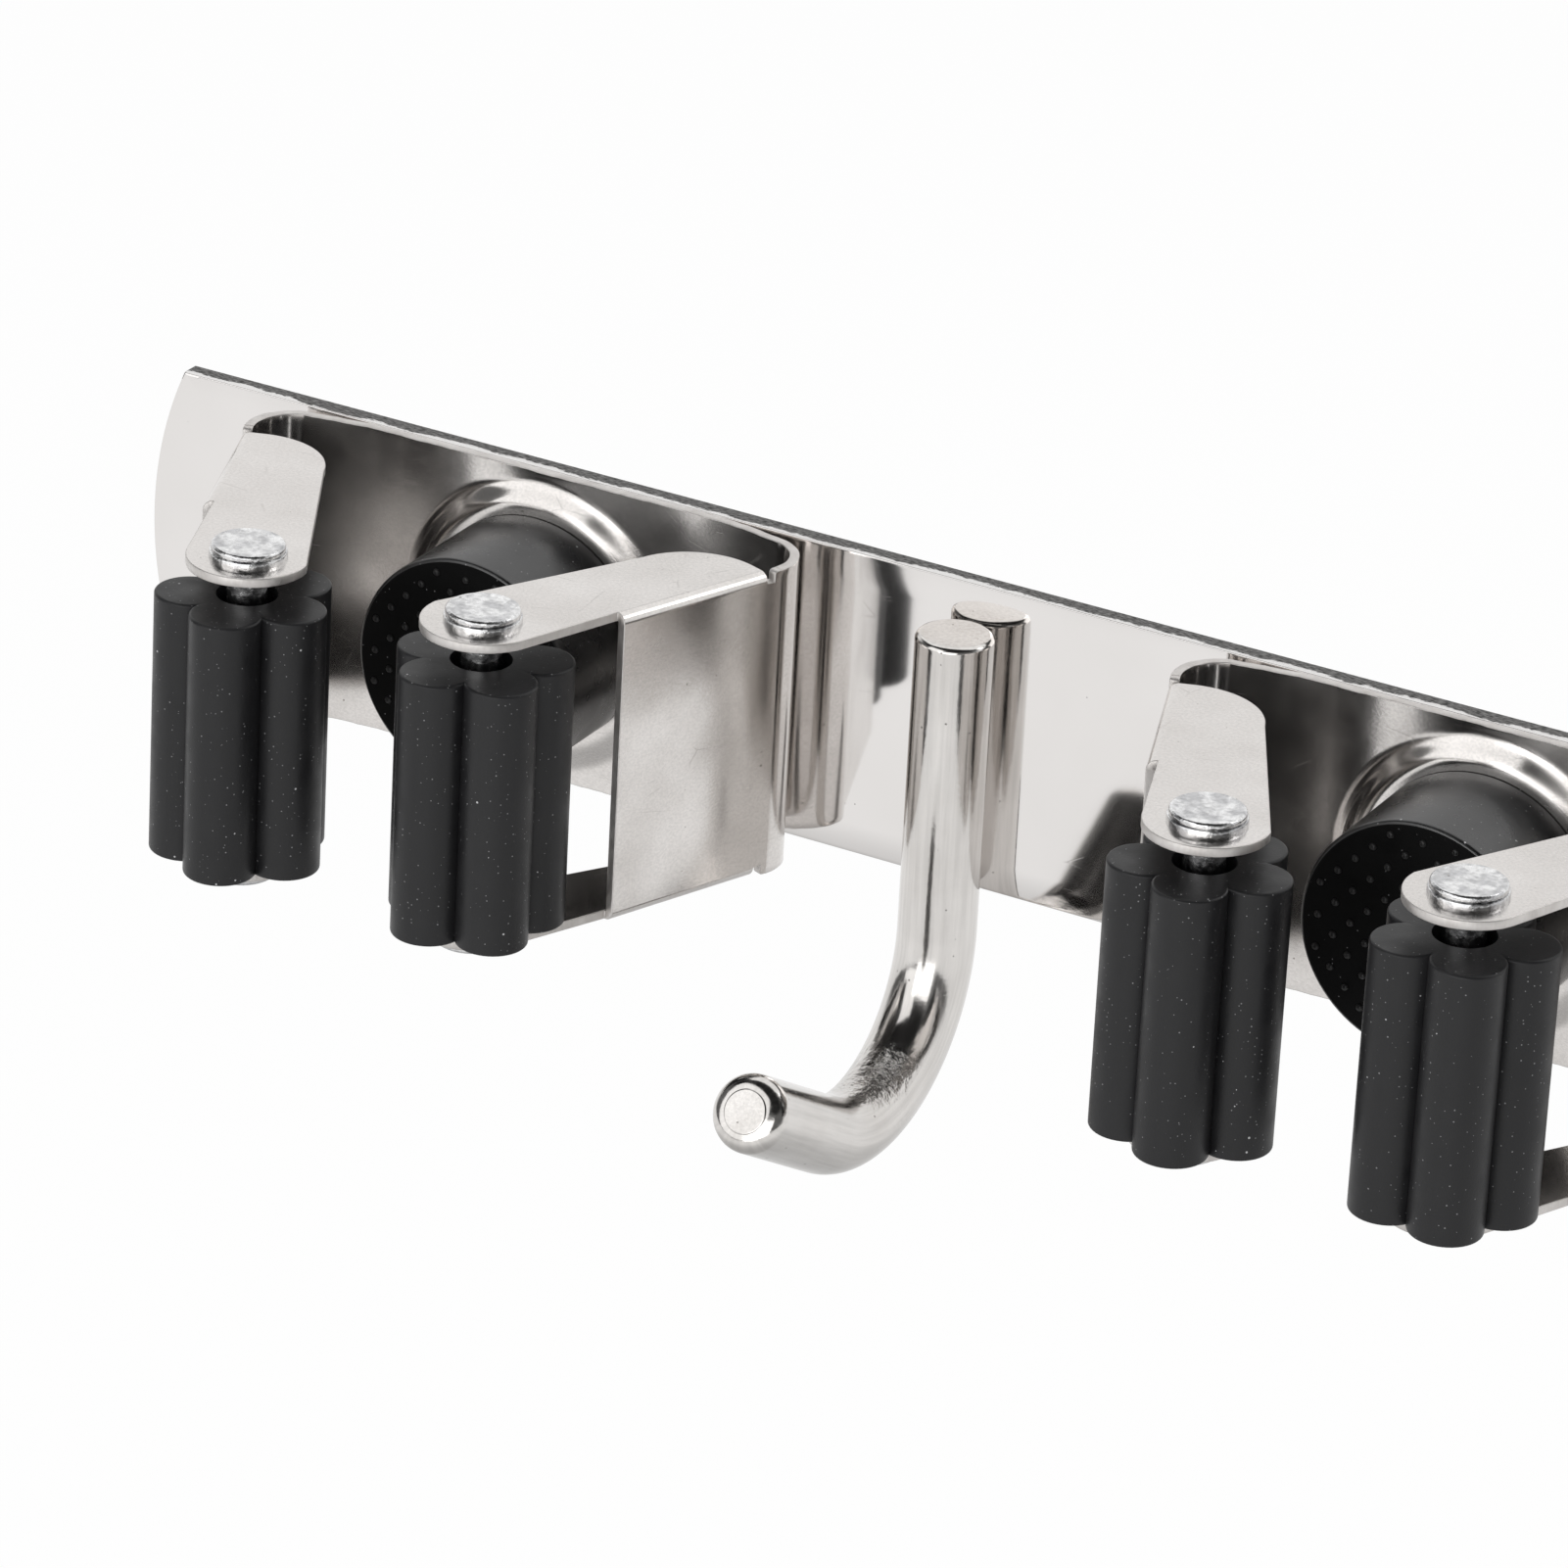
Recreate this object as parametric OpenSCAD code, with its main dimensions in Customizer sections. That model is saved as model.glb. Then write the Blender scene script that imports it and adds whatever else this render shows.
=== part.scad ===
// Wall rack for mops and brooms: two spring clips with rollers and a hook on one steel plate.
// Millimetres. X runs along the plate, the front faces -Y, Z is up.
// The origin is the middle of the plate's wall face.

/* [Plate] */
// Length over the curved ends
plate_l = 246; // [200:1:400]
// Height of the plate
plate_h = 40; // [32:0.5:60]
// Thickness of the plate
plate_t = 3; // [2:0.1:6]
// How far each end bows out past its corners
plate_end_rise = 4.1; // [1:0.1:10]

/* [Racks] */
// Distance between the two clips, centre to centre
rack_pitch = 130; // [110:1:220]
// How far the clips sit below the plate's middle line
clip_drop = 0.4; // [0:0.1:2]

/* [Clip strip] */
// Thickness of the spring strip
strip_t = 1.2; // [0.8:0.1:2]
// How far the strip stands past the plate's upper and lower edges
strip_over = 0.4; // [0:0.05:2]
// Length of the flat that lies on the plate
clip_flat = 42; // [36:0.5:60]
// Inside radius of the shallow curve that lifts off the plate
lead_r = 53.4; // [30:0.2:90]
// Angle of that curve
lead_a = 14; // [8:0.5:20]
// Inside radius of the fold
fold_r = 5; // [3:0.1:8]
// How far the arm leans in past square to the plate, in degrees
web_lean = 20.5; // [10:0.5:25]
// Distance from the pin back to the front edge of the arm's web
web_setback = 14.7; // [12:0.1:20]
// Saw gap between the clip's base and each arm at the fold
seam_gap = 0.1; // [0.05:0.01:0.3]

/* [Boss] */
// How far the pressed boss rises from the strip
boss_rise = 1.6; // [0.8:0.1:3]
// Width of the boss's sloping ring
boss_run = 3.2; // [2:0.1:5]
// Flat ledge around the post on top of the boss
post_ledge = 1; // [0.5:0.1:2]

/* [Ears] */
// Distance from the fold to the pin, along the arm
pin_reach = 39.2; // [32:0.2:52]
// Distance from the arm's outer face to the pin
pin_set = 8.8; // [7:0.1:12]
// Inside radius of the bend between arm and ear
ear_bend_r = 1; // [0.5:0.1:2]
// Gap between the fold and the rear edge of the ear
ear_back = 2; // [1.2:0.1:4]
// Width of the full-height tab next to the fold
fold_tab = 0.9; // [0.4:0.1:1.1]
// Width of the ear near its rear end
ear_back_w = 12.5; // [10:0.1:16]
// Radius of the ear's rear corner
ear_back_r = 9.5; // [5:0.1:9.8]
// Distance from the pin to the ear's inner edge
ear_inner = 7.9; // [6:0.1:10]
// How far the ear's free edge stands out past the arm's outer face
ear_lip = 0.3; // [0:0.1:1.5]
// Radius of the relief notch at the end of the web
relief_r = 0.9; // [0.5:0.1:1.5]
// Depth of the relief notch inside the arm's outer face
relief_in = 0.5; // [0.2:0.1:1]

/* [Pins] */
// Diameter of the rivet pins
pin_d = 5; // [4:0.1:6.5]
// Diameter of the rivet heads
head_d = 9.6; // [8:0.1:14]
// Thickness of the rivet heads
head_t = 1.6; // [1:0.1:3]
// Rounding of the heads' rims
head_edge = 0.6; // [0.2:0.1:0.9]
// Clearance between pin and ear
pin_clear = 0.05; // [0.02:0.01:0.2]

/* [Rollers] */
// Number of lobes
lobes = 5; // [4:1:7]
// Radius of each lobe
lobe_r = 4.5; // [4.2:0.1:5.4]
// Distance from the roller's axis to the middle of a lobe
lobe_set = 6.8; // [5.6:0.1:7]
// Bore of the roller
roller_bore = 7.6; // [6.8:0.1:9]
// Gap between the roller and the lower ear
roller_gap_low = 0.2; // [0.2:0.1:1]
// Gap between the roller and the upper ear
roller_gap_top = 3.1; // [0.5:0.1:5]
// Rest turn of the left outer roller, in degrees
turn_left_outer = -8; // [-72:1:72]
// Rest turn of the left inner roller, in degrees
turn_left_inner = -39; // [-72:1:72]
// Rest turn of the right inner roller, in degrees
turn_right_inner = -5; // [-72:1:72]
// Rest turn of the right outer roller, in degrees
turn_right_outer = 11; // [-72:1:72]

/* [Posts] */
// Diameter of the rubber posts
post_d = 30; // [24:0.5:34]
// Length of the rubber posts
post_l = 17; // [12:0.5:24]
// Rounding of the posts' edges
post_edge = 0.6; // [0.2:0.1:2]
// Diameter of the threaded insert in the post
insert_d = 10; // [8:0.5:14]
// Length of the threaded insert
insert_l = 9; // [6:0.5:11]
// Bond line between post and insert
bond_gap = 0.05; // [0.02:0.01:0.2]

/* [Screws] */
// Diameter of the post screws
screw_d = 5; // [4:0.5:6]
// Diameter of the countersunk heads
screw_head_d = 9.4; // [8:0.1:12]
// How far the heads lie below the wall face
screw_sink = 0.2; // [0.1:0.1:0.5]
// Clearance around the screws
screw_clear = 0.2; // [0.1:0.05:0.5]
// Clearance of the screw in the insert's thread
thread_clear = 0.05; // [0.02:0.01:0.1]
// Width of the cross recess in the heads
recess_w = 1; // [0.6:0.1:1.4]
// Length of the cross recess
recess_l = 4.6; // [3:0.1:6]
// Depth of the cross recess
recess_depth = 1.2; // [0.6:0.1:1.6]

/* [Hook] */
// Diameter of the hook's rod
rod_d = 9.8; // [8:0.1:12]
// Place of the hook along the plate, from its middle
hook_x = -5; // [-20:0.5:20]
// Distance from the plate's upper edge to the rod's top
hook_top_gap = 4.7; // [1:0.1:15]
// Straight length of rod below the plate's lower edge
hook_drop = 4; // [0:0.5:30]
// Bend radius on the rod's centre line
hook_bend_r = 19; // [14:0.5:30]
// Angle of the bend
hook_turn = 120; // [90:1:150]
// Straight length of the hook's free arm
hook_arm = 21.8; // [10:0.2:40]
// Rounding of the free end
hook_end_r = 2; // [0.5:0.1:2.3]
// Rounding of the upper end
hook_top_r = 0.8; // [0.3:0.1:1.5]
// Depth of the flat along which the rod is welded to the plate
weld_land = 0.2; // [0.1:0.05:0.5]

/* [Hidden] */
$fn = 96;

steel_polished = [0.83, 0.83, 0.82];
steel_rolled = [0.72, 0.71, 0.69];
steel_rivet = [0.78, 0.78, 0.78];
steel_screw = [0.62, 0.62, 0.62];
brass_insert = [0.75, 0.62, 0.32];
rubber_roller = [0.09, 0.09, 0.095];
rubber_post = [0.07, 0.07, 0.075];

// Overrun of every cut past the face that it opens
cut_over = 1;

// Plate: the curved ends are parts of one large circle each
plate_corner_x = plate_l / 2 - plate_end_rise;
plate_end_r = (pow(plate_h / 2, 2) + pow(plate_end_rise, 2)) / (2 * plate_end_rise);

// Strip: its height, and the places of its curves in plan
strip_h = plate_h + 2 * strip_over;
strip_front = plate_t + strip_t;
lead_c = [clip_flat / 2, -(strip_front + lead_r)];
fold_c = lead_c + (lead_r - fold_r) * [sin(lead_a), cos(lead_a)];
fold_out = fold_r + strip_t;
seam_at = fold_c + fold_out * [cos(web_lean), -sin(web_lean)];
arm_turn = -(90 + web_lean);
// The shallow curve is drawn a hair thinner and runs a little into the flat and the fold
strip_draw = 0.01;
strip_lap = 0.2;
lead_lap_a = strip_lap / lead_r * 180 / PI;

// Boss and post
boss_top_d = post_d + 2 * post_ledge;
boss_d = boss_top_d + 2 * boss_run;
boss_front = strip_front + boss_rise;
post_front = boss_front + post_l;

// Ears
bend_out = ear_bend_r + strip_t;
web_l = pin_reach - web_setback;
ear_front_w = pin_set + ear_inner;
ear_slope = (ear_front_w - ear_back_w) / (pin_reach - ear_back - ear_back_r);
ear_tip_r = pin_set + ear_lip;
ear_tip_x = pin_reach + ear_tip_r;
ear_tip_w = ear_front_w + ear_slope * ear_tip_r;

// Rollers and pins
roller_h = strip_h - 2 * strip_t - roller_gap_low - roller_gap_top;
roller_base = roller_gap_low + strip_t - strip_h / 2;
lobe_step = 360 / lobes;

// Screws: a 90 degree countersink
screw_hole_d = screw_d + 2 * screw_clear;
screw_head_h = (screw_head_d - screw_d) / 2;
screw_tip = boss_front + insert_l;

// Hook
rod_y = plate_t + rod_d / 2 - weld_land;
hook_bend_z = -plate_h / 2 - hook_drop;
rod_straight = plate_h - hook_top_gap + hook_drop;
// The free arm is drawn down a hair where it leaves the bend
hook_draw = 0.02;
hook_lap = 0.4;
hook_arm_r = rod_d / 2 - hook_draw;

// Solid of revolution with a rounded far rim, along +Z from zero
module round_rod(r, l, edge) {
    rim = min(edge, r / 2);
    rotate_extrude() {
        square([r, l - rim]);
        square([r - rim, l]);
        translate([r - rim, l - rim])
            circle(r = rim);
    }
}

// Band of strip along an arc around the origin, standing on its edge
module strip_arc(r, from, to, draw) {
    rotate([0, 0, from])
        translate([0, 0, -strip_h / 2])
            rotate_extrude(angle = to - from)
                translate([r + draw, draw])
                    square([strip_t - 2 * draw, strip_h - 2 * draw]);
}

// Puts a right-hand arm's own frame in place: X along the arm, Y out
module at_arm(side, rack_side) {
    translate([rack_side * rack_pitch / 2, 0, -clip_drop])
        mirror([side < 0 ? 1 : 0, 0, 0])
            translate([seam_at[0], seam_at[1], 0])
                rotate([0, 0, arm_turn])
                    children();
}

// Puts a rack's own frame in place, with +Z forward from the wall
module at_rack(rack_side) {
    translate([rack_side * rack_pitch / 2, 0, -clip_drop])
        rotate([90, 0, 0])
            children();
}

module plate_outline() {
    square([2 * plate_corner_x, plate_h], center = true);
    for (side = [0, 1])
        mirror([side, 0])
            intersection() {
                translate([plate_l / 2 - plate_end_r, 0])
                    circle(r = plate_end_r);
                translate([0, -plate_h / 2])
                    square([plate_l, plate_h]);
            }
}

// Cut for a countersunk screw from the wall face
module screw_cut() {
    translate([0, 0, -cut_over])
        cylinder(d = screw_hole_d, h = plate_t + 2 * cut_over);
    translate([0, 0, -cut_over])
        cylinder(d = screw_head_d + 2 * screw_clear, h = cut_over + screw_sink);
    translate([0, 0, screw_sink])
        cylinder(d1 = screw_head_d + 2 * screw_clear, d2 = screw_hole_d, h = screw_head_h);
}

module back_plate() {
    color(steel_polished)
        difference() {
            rotate([90, 0, 0])
                linear_extrude(height = plate_t)
                    plate_outline();
            for (side = [-1, 1])
                at_rack(side)
                    screw_cut();
        }
}

// Form of the pressed boss, from a foot height to its flat top
module boss_form(foot, rim, top) {
    rotate_extrude()
        polygon(points = [
            [0, foot],
            [boss_d / 2, foot],
            [boss_d / 2, rim],
            [boss_top_d / 2, top],
            [0, top]]);
}

module clip_base(rack_side) {
    color(steel_rolled) {
        at_rack(rack_side) {
            difference() {
                translate([-clip_flat / 2, -strip_h / 2, plate_t])
                    cube([clip_flat, strip_h, strip_t]);
                boss_form(plate_t - cut_over, plate_t, boss_front - strip_t);
            }
            intersection() {
                difference() {
                    boss_form(plate_t + strip_t / 2, strip_front, boss_front);
                    boss_form(plate_t - cut_over, plate_t, boss_front - strip_t);
                    cylinder(d = screw_hole_d, h = boss_front + cut_over);
                }
                translate([-clip_flat / 2, -strip_h / 2, 0])
                    cube([clip_flat, strip_h, boss_front + cut_over]);
            }
        }
        translate([rack_side * rack_pitch / 2, 0, -clip_drop])
            for (side = [0, 1])
                mirror([side, 0, 0]) {
                    translate([lead_c[0], lead_c[1], 0])
                        strip_arc(lead_r, 90 - lead_a - lead_lap_a, 90 + lead_lap_a, strip_draw);
                    translate([fold_c[0], fold_c[1], 0])
                        strip_arc(fold_r, -web_lean, 90 - lead_a, 0);
                }
    }
}

// Outline of one ear in the arm's frame, rounded about the pin at its tip
module ear_outline() {
    difference() {
        union() {
            polygon(points = [
                [ear_back, -bend_out],
                [ear_back, ear_back_r - ear_back_w],
                [ear_back + ear_back_r, -ear_back_w],
                [ear_tip_x, -ear_tip_w],
                [ear_tip_x, ear_lip],
                [web_l, ear_lip],
                [web_l, -bend_out]]);
            intersection() {
                translate([ear_back + ear_back_r, ear_back_r - ear_back_w])
                    circle(r = ear_back_r);
                translate([ear_back, -ear_back_w])
                    square([ear_back_r, ear_back_r]);
            }
        }
        translate([pin_reach, -pin_set])
            difference() {
                translate([0, -2 * ear_tip_r])
                    square([2 * ear_tip_r, 4 * ear_tip_r]);
                circle(r = ear_tip_r);
            }
    }
}

// Upper ear with its bend; the lower one is its mirror image
module ear() {
    translate([0, 0, strip_h / 2 - strip_t])
        linear_extrude(height = strip_t)
            difference() {
                ear_outline();
                translate([pin_reach, -pin_set])
                    circle(d = pin_d + 2 * pin_clear);
                translate([web_l + relief_r, relief_r - relief_in])
                    circle(r = relief_r);
                translate([web_l, relief_r - relief_in])
                    square([2 * relief_r, ear_lip + cut_over]);
            }
    intersection() {
        translate([ear_back, -bend_out, strip_h / 2 - bend_out])
            rotate([0, 90, 0])
                difference() {
                    cylinder(r = bend_out, h = web_l - ear_back);
                    translate([0, 0, -cut_over])
                        cylinder(r = ear_bend_r, h = web_l - ear_back + 2 * cut_over);
                }
        translate([0, -bend_out, strip_h / 2 - bend_out])
            cube([web_l, bend_out, bend_out]);
    }
}

module arm(side, rack_side) {
    color(steel_rolled)
        at_arm(side, rack_side) {
            translate([seam_gap, -strip_t, bend_out - strip_h / 2])
                cube([web_l - seam_gap, strip_t, strip_h - 2 * bend_out]);
            translate([seam_gap, -strip_t, -strip_h / 2])
                cube([fold_tab, strip_t, strip_h]);
            ear();
            mirror([0, 0, 1])
                ear();
        }
}

module pin(side, rack_side) {
    color(steel_rivet)
        at_arm(side, rack_side)
            translate([pin_reach, -pin_set, 0]) {
                cylinder(d = pin_d, h = strip_h, center = true);
                for (end = [0, 1])
                    mirror([0, 0, end])
                        translate([0, 0, strip_h / 2])
                            round_rod(head_d / 2, head_t, head_edge);
            }
}

module roller(side, rack_side, turn) {
    color(rubber_roller)
        at_arm(side, rack_side)
            translate([pin_reach, -pin_set, roller_base])
                mirror([side < 0 ? 1 : 0, 0, 0])
                    rotate([0, 0, turn - side * arm_turn])
                        linear_extrude(height = roller_h)
                            difference() {
                                union() {
                                    circle(r = lobe_set);
                                    for (i = [0 : lobes - 1])
                                        rotate(i * lobe_step)
                                            translate([lobe_set, 0])
                                                circle(r = lobe_r);
                                }
                                circle(d = roller_bore);
                            }
}

module post(rack_side) {
    color(rubber_post)
        at_rack(rack_side)
            difference() {
                translate([0, 0, boss_front])
                    round_rod(post_d / 2, post_l, post_edge);
                translate([0, 0, boss_front - cut_over])
                    cylinder(d = insert_d + 2 * bond_gap, h = insert_l + bond_gap + cut_over);
            }
}

module post_insert(rack_side) {
    color(brass_insert)
        at_rack(rack_side)
            translate([0, 0, boss_front])
                difference() {
                    cylinder(d = insert_d, h = insert_l);
                    translate([0, 0, -cut_over])
                        cylinder(d = screw_d + 2 * thread_clear, h = insert_l + 2 * cut_over);
                }
}

module post_screw(rack_side) {
    color(steel_screw)
        at_rack(rack_side)
            difference() {
                union() {
                    translate([0, 0, screw_sink])
                        cylinder(d1 = screw_head_d, d2 = screw_d, h = screw_head_h);
                    translate([0, 0, screw_sink])
                        cylinder(d = screw_d, h = screw_tip - screw_sink);
                }
                for (turn = [0, 90])
                    rotate([0, 0, turn])
                        translate([-recess_l / 2, -recess_w / 2, screw_sink - cut_over])
                            cube([recess_l, recess_w, recess_depth + cut_over]);
            }
}

module hook() {
    color(steel_polished)
        difference() {
            translate([hook_x, -rod_y, hook_bend_z]) {
                round_rod(rod_d / 2, rod_straight, hook_top_r);
                translate([0, -hook_bend_r, 0])
                    rotate([0, -90, 0])
                        rotate([0, 0, 90]) {
                            rotate_extrude(angle = hook_turn)
                                translate([hook_bend_r, 0])
                                    circle(d = rod_d);
                            rotate([0, 0, hook_turn])
                                translate([hook_bend_r, -hook_lap, 0])
                                    rotate([-90, 0, 0])
                                        round_rod(hook_arm_r, hook_arm + hook_lap, hook_end_r);
                        }
            }
            translate([hook_x - rod_d, -plate_t, -plate_h])
                cube([2 * rod_d, rod_d, 2 * plate_h]);
        }
}

back_plate();
hook();
clip_base(-1);  // left_clip_base
clip_base(1);  // right_clip_base
arm(-1, -1);  // left_outer_arm
arm(1, -1);  // left_inner_arm
arm(-1, 1);  // right_inner_arm
arm(1, 1);  // right_outer_arm
pin(-1, -1);  // left_outer_pin
pin(1, -1);  // left_inner_pin
pin(-1, 1);  // right_inner_pin
pin(1, 1);  // right_outer_pin
roller(-1, -1, turn_left_outer);  // left_outer_roller
roller(1, -1, turn_left_inner);  // left_inner_roller
roller(-1, 1, turn_right_inner);  // right_inner_roller
roller(1, 1, turn_right_outer);  // right_outer_roller
post(-1);  // left_post
post(1);  // right_post
post_insert(-1);  // left_post_insert
post_insert(1);  // right_post_insert
post_screw(-1);  // left_post_screw
post_screw(1);  // right_post_screw
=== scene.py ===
import math

import bmesh
import bpy
from mathutils import Matrix, Vector, geometry


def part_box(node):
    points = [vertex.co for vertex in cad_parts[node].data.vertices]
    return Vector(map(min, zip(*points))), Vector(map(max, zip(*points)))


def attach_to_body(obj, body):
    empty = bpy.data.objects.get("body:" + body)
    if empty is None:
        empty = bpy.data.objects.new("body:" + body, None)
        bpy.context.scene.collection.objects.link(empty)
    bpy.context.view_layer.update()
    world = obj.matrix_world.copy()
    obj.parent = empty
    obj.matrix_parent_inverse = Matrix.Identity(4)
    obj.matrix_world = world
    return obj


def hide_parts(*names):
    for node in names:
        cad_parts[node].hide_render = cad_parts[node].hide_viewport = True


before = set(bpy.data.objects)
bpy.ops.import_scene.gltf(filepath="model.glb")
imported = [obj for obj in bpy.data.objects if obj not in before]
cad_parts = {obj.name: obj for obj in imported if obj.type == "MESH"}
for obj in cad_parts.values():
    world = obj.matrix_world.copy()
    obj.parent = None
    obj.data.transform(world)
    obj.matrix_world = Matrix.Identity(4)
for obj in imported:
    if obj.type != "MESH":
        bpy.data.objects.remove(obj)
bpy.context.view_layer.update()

# Lengths are in metres. The main sizes are those of the solids; bends and rims are finer here.
MM = 0.001
RACKS = ("left", "right")

# Plate, read from its solid, with its two countersunk screw holes
plate_low, plate_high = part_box("back_plate")
plate_l = plate_high.x - plate_low.x
plate_h = plate_high.z - plate_low.z
plate_t = plate_high.y - plate_low.y
plate_end_rise = 4.1 * MM
plate_edge = 0.14 * MM
plate_roll_w = 4 * MM
plate_roll_d = 0.25 * MM
screw_hole_r = 2.7 * MM
sink_r = 4.9 * MM
sink_step = 0.2 * MM
sink_cone = 2.2 * MM

# Spring strip of the two clips
strip_t = 1.2 * MM
base_low, base_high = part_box("left_clip_base")
strip_h = base_high.z - base_low.z
clip_flat = 42 * MM
lead_r = 53.4 * MM
lead_a = math.radians(14)
fold_r = 5 * MM
web_lean = math.radians(20.5)
web_setback = 14.7 * MM
strip_edge = 0.13 * MM
strip_front = plate_t + strip_t
lead_c = Vector((clip_flat / 2, -(strip_front + lead_r)))
fold_c = lead_c + (lead_r - fold_r) * Vector((math.sin(lead_a), math.cos(lead_a)))
seam_at = fold_c + (fold_r + strip_t) * Vector((math.cos(web_lean), -math.sin(web_lean)))
arm_turn = -(math.pi / 2 + web_lean)

# Waviness of the strip's cut edge: share of its height, radians per millimetre and phase of each wave
edge_inset = 0.07 * MM
edge_wave_h = 0.028 * MM
EDGE_WAVES = ((1.0, 0.61, 0.7), (1.0, 1.37, 2.1), (0.7, 2.9, 4.0))

# Pressed boss and the rubber post on it
post_low, post_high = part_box("left_post")
boss_front = -post_high.y
post_front = -post_low.y
post_r = 15 * MM
post_edge = 0.6 * MM
post_chamfer = 0.2 * MM
boss_rise = boss_front - strip_front
boss_foot_r = 19.9 * MM
boss_top_r = 15.5 * MM
BOSS_TOP_RINGS = (6 * MM, 10 * MM, 13 * MM)
insert_r = 5.05 * MM
insert_l = 9.05 * MM
pip_r = 0.5 * MM
pip_h = 0.3 * MM
pip_pitch = 2.1 * MM
pip_rows = 15
pip_margin = 1.1 * MM

# Ears at the ends of the arms
pin_reach = 39.2 * MM
pin_set = 8.8 * MM
web_l = pin_reach - web_setback
bend_r = 0.15 * MM
bend_out = bend_r + strip_t
ear_back = 2 * MM
ear_back_r = 9.5 * MM
ear_land = 0.5 * MM
upper_back_w = 12.5 * MM
upper_inner = 7.3 * MM
upper_tip_r = 7.6 * MM
lower_back_w = 9.4 * MM
lower_inner = 6.4 * MM
lower_tip_r = 6.8 * MM
tab_w = 1 * MM
tab_corner = 0.5 * MM
pin_hole_r = 2.55 * MM

# Rivet pins
pin_r = 2.5 * MM
head_r = 4.8 * MM
head_t = 1.6 * MM
head_edge = 0.45 * MM
flange_straight = 0.3 * head_t
flange_t = 0.42 * head_t
flange_round = 0.08 * MM
groove_d = 0.55 * MM
groove_w = 0.22 * MM
crown_inset = 0.22 * MM
crown_r = head_r - crown_inset
dent_depth = 0.18 * MM
dent_size = 1.7 * MM
dent_seed = 3.1
dent_seed_step = 7.3

# Rollers
lobes = 5
lobe_r = 4.5 * MM
lobe_set = 6.8 * MM
roller_bore_r = 3.8 * MM
roller_rim = 0.35 * MM
roller_sink = 0.15 * MM
roller_short = 0.9 * MM

# Hook; the ring on its end is given as shares of the end's step and insets from the end's flat
hook_low, hook_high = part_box("hook")
rod_r = 4.9 * MM
hook_x = (hook_low.x + hook_high.x) / 2
weld_land = 0.2 * MM
rod_y = -(plate_t + rod_r - weld_land)
hook_drop = 4 * MM
hook_bend_r = 19 * MM
hook_turn = math.radians(120)
hook_arm = 21.8 * MM
hook_end_r = 2 * MM
hook_end_turn = 0.96
hook_end_step = 0.16 * MM
HOOK_END_RING = ((0.2, 0.12 * MM), (0.8, 0.2 * MM), (1.0, 0.32 * MM))
hook_top_r = 0.8 * MM
bend_c = Vector((hook_x, rod_y - hook_bend_r, -plate_h / 2 - hook_drop))
crumple_turn = 0.66 * hook_turn
crumple_at = bend_c + (hook_bend_r - rod_r) * Vector((0, math.cos(crumple_turn), -math.sin(crumple_turn)))

# Every arm, with its rack and the side of the rack that it stands on
ARMS = {
    "left_outer": ("left", -1),
    "left_inner": ("left", 1),
    "right_inner": ("right", -1),
    "right_outer": ("right", 1),
}
ROLLER_TURN = {
    "left_outer": math.radians(-8),
    "left_inner": math.radians(-39),
    "right_inner": math.radians(-5),
    "right_outer": math.radians(11),
}

# Socket kinds, and the names of the map and attributes that the pieces carry
FLOAT = "NodeSocketFloat"
INT = "NodeSocketInt"
VECTOR = "NodeSocketVector"
MATERIAL = "NodeSocketMaterial"
GEOMETRY = "NodeSocketGeometry"
STRIP_MAP = "across_strip"
ROD_MAP = "along_rod"
ROLLER_FIELDS = ("share", "inset", "level", "drop", "along", "lobe")


def rack_middle(rack):
    """Middle of a rack on the wall face, from its post's solid."""
    low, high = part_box(rack + "_post")
    return Vector(((low.x + high.x) / 2, 0, (low.z + high.z) / 2))


# Node helpers

def place(tree, kind, **settings):
    """New node with its settings."""
    node = tree.nodes.new(kind)
    for key, value in settings.items():
        setattr(node, key, value)
    return node


def tree_of(*values):
    """Node tree of the first socket among some values."""
    return next(v.id_data for v in values if isinstance(v, bpy.types.NodeSocket))


def feed(target, source):
    """Links a socket, or sets a plain value, on an input socket."""
    if isinstance(source, bpy.types.NodeSocket):
        target.id_data.links.new(source, target)
    else:
        target.default_value = source


def wire(node, **values):
    """Feeds a node's inputs; a keyword with underscores names the socket with spaces."""
    for key, value in values.items():
        feed(node.inputs[key.replace("_", " ")], value)
    return node


def grow(kind, **values):
    """New node in the tree of the sockets that feed it."""
    return wire(place(tree_of(*values.values()), kind), **values)


def maths(operation, first, second=0.0, clamp=False):
    """Result of a maths node."""
    node = place(tree_of(first, second), "ShaderNodeMath", operation=operation, use_clamp=clamp)
    feed(node.inputs[0], first)
    feed(node.inputs[1], second)
    return node.outputs[0]


def plus(first, second, clamp=False):
    return maths("ADD", first, second, clamp)


def minus(first, second):
    return maths("SUBTRACT", first, second)


def times(first, second, clamp=False):
    return maths("MULTIPLY", first, second, clamp)


def over(first, second):
    return maths("DIVIDE", first, second)


def spread(value, low, high, to_low, to_high, soft=False):
    """Maps a value from one range to another."""
    node = place(tree_of(value), "ShaderNodeMapRange",
                 interpolation_type="SMOOTHSTEP" if soft else "LINEAR")
    wire(node, Value=value, From_Min=low, From_Max=high, To_Min=to_low, To_Max=to_high)
    return node.outputs["Result"]


def grade(noise, to_low, to_high):
    """Spreads the usual swing of a noise over a range."""
    return spread(noise, 0.3, 0.7, to_low, to_high)


def tint(share, first, second, blend="MIX"):
    """Mixes two colours by a share."""
    node = place(tree_of(share, first, second), "ShaderNodeMix", data_type="RGBA", blend_type=blend)
    feed(node.inputs[0], share)
    for socket, colour in ((node.inputs[6], first), (node.inputs[7], second)):
        feed(socket, colour if isinstance(colour, bpy.types.NodeSocket) else (*colour, 1))
    return node.outputs[2]


def grey(value):
    """Grey of a value, from black at 0 to white at 1."""
    return tint(value, (0, 0, 0), (1, 1, 1))


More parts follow.
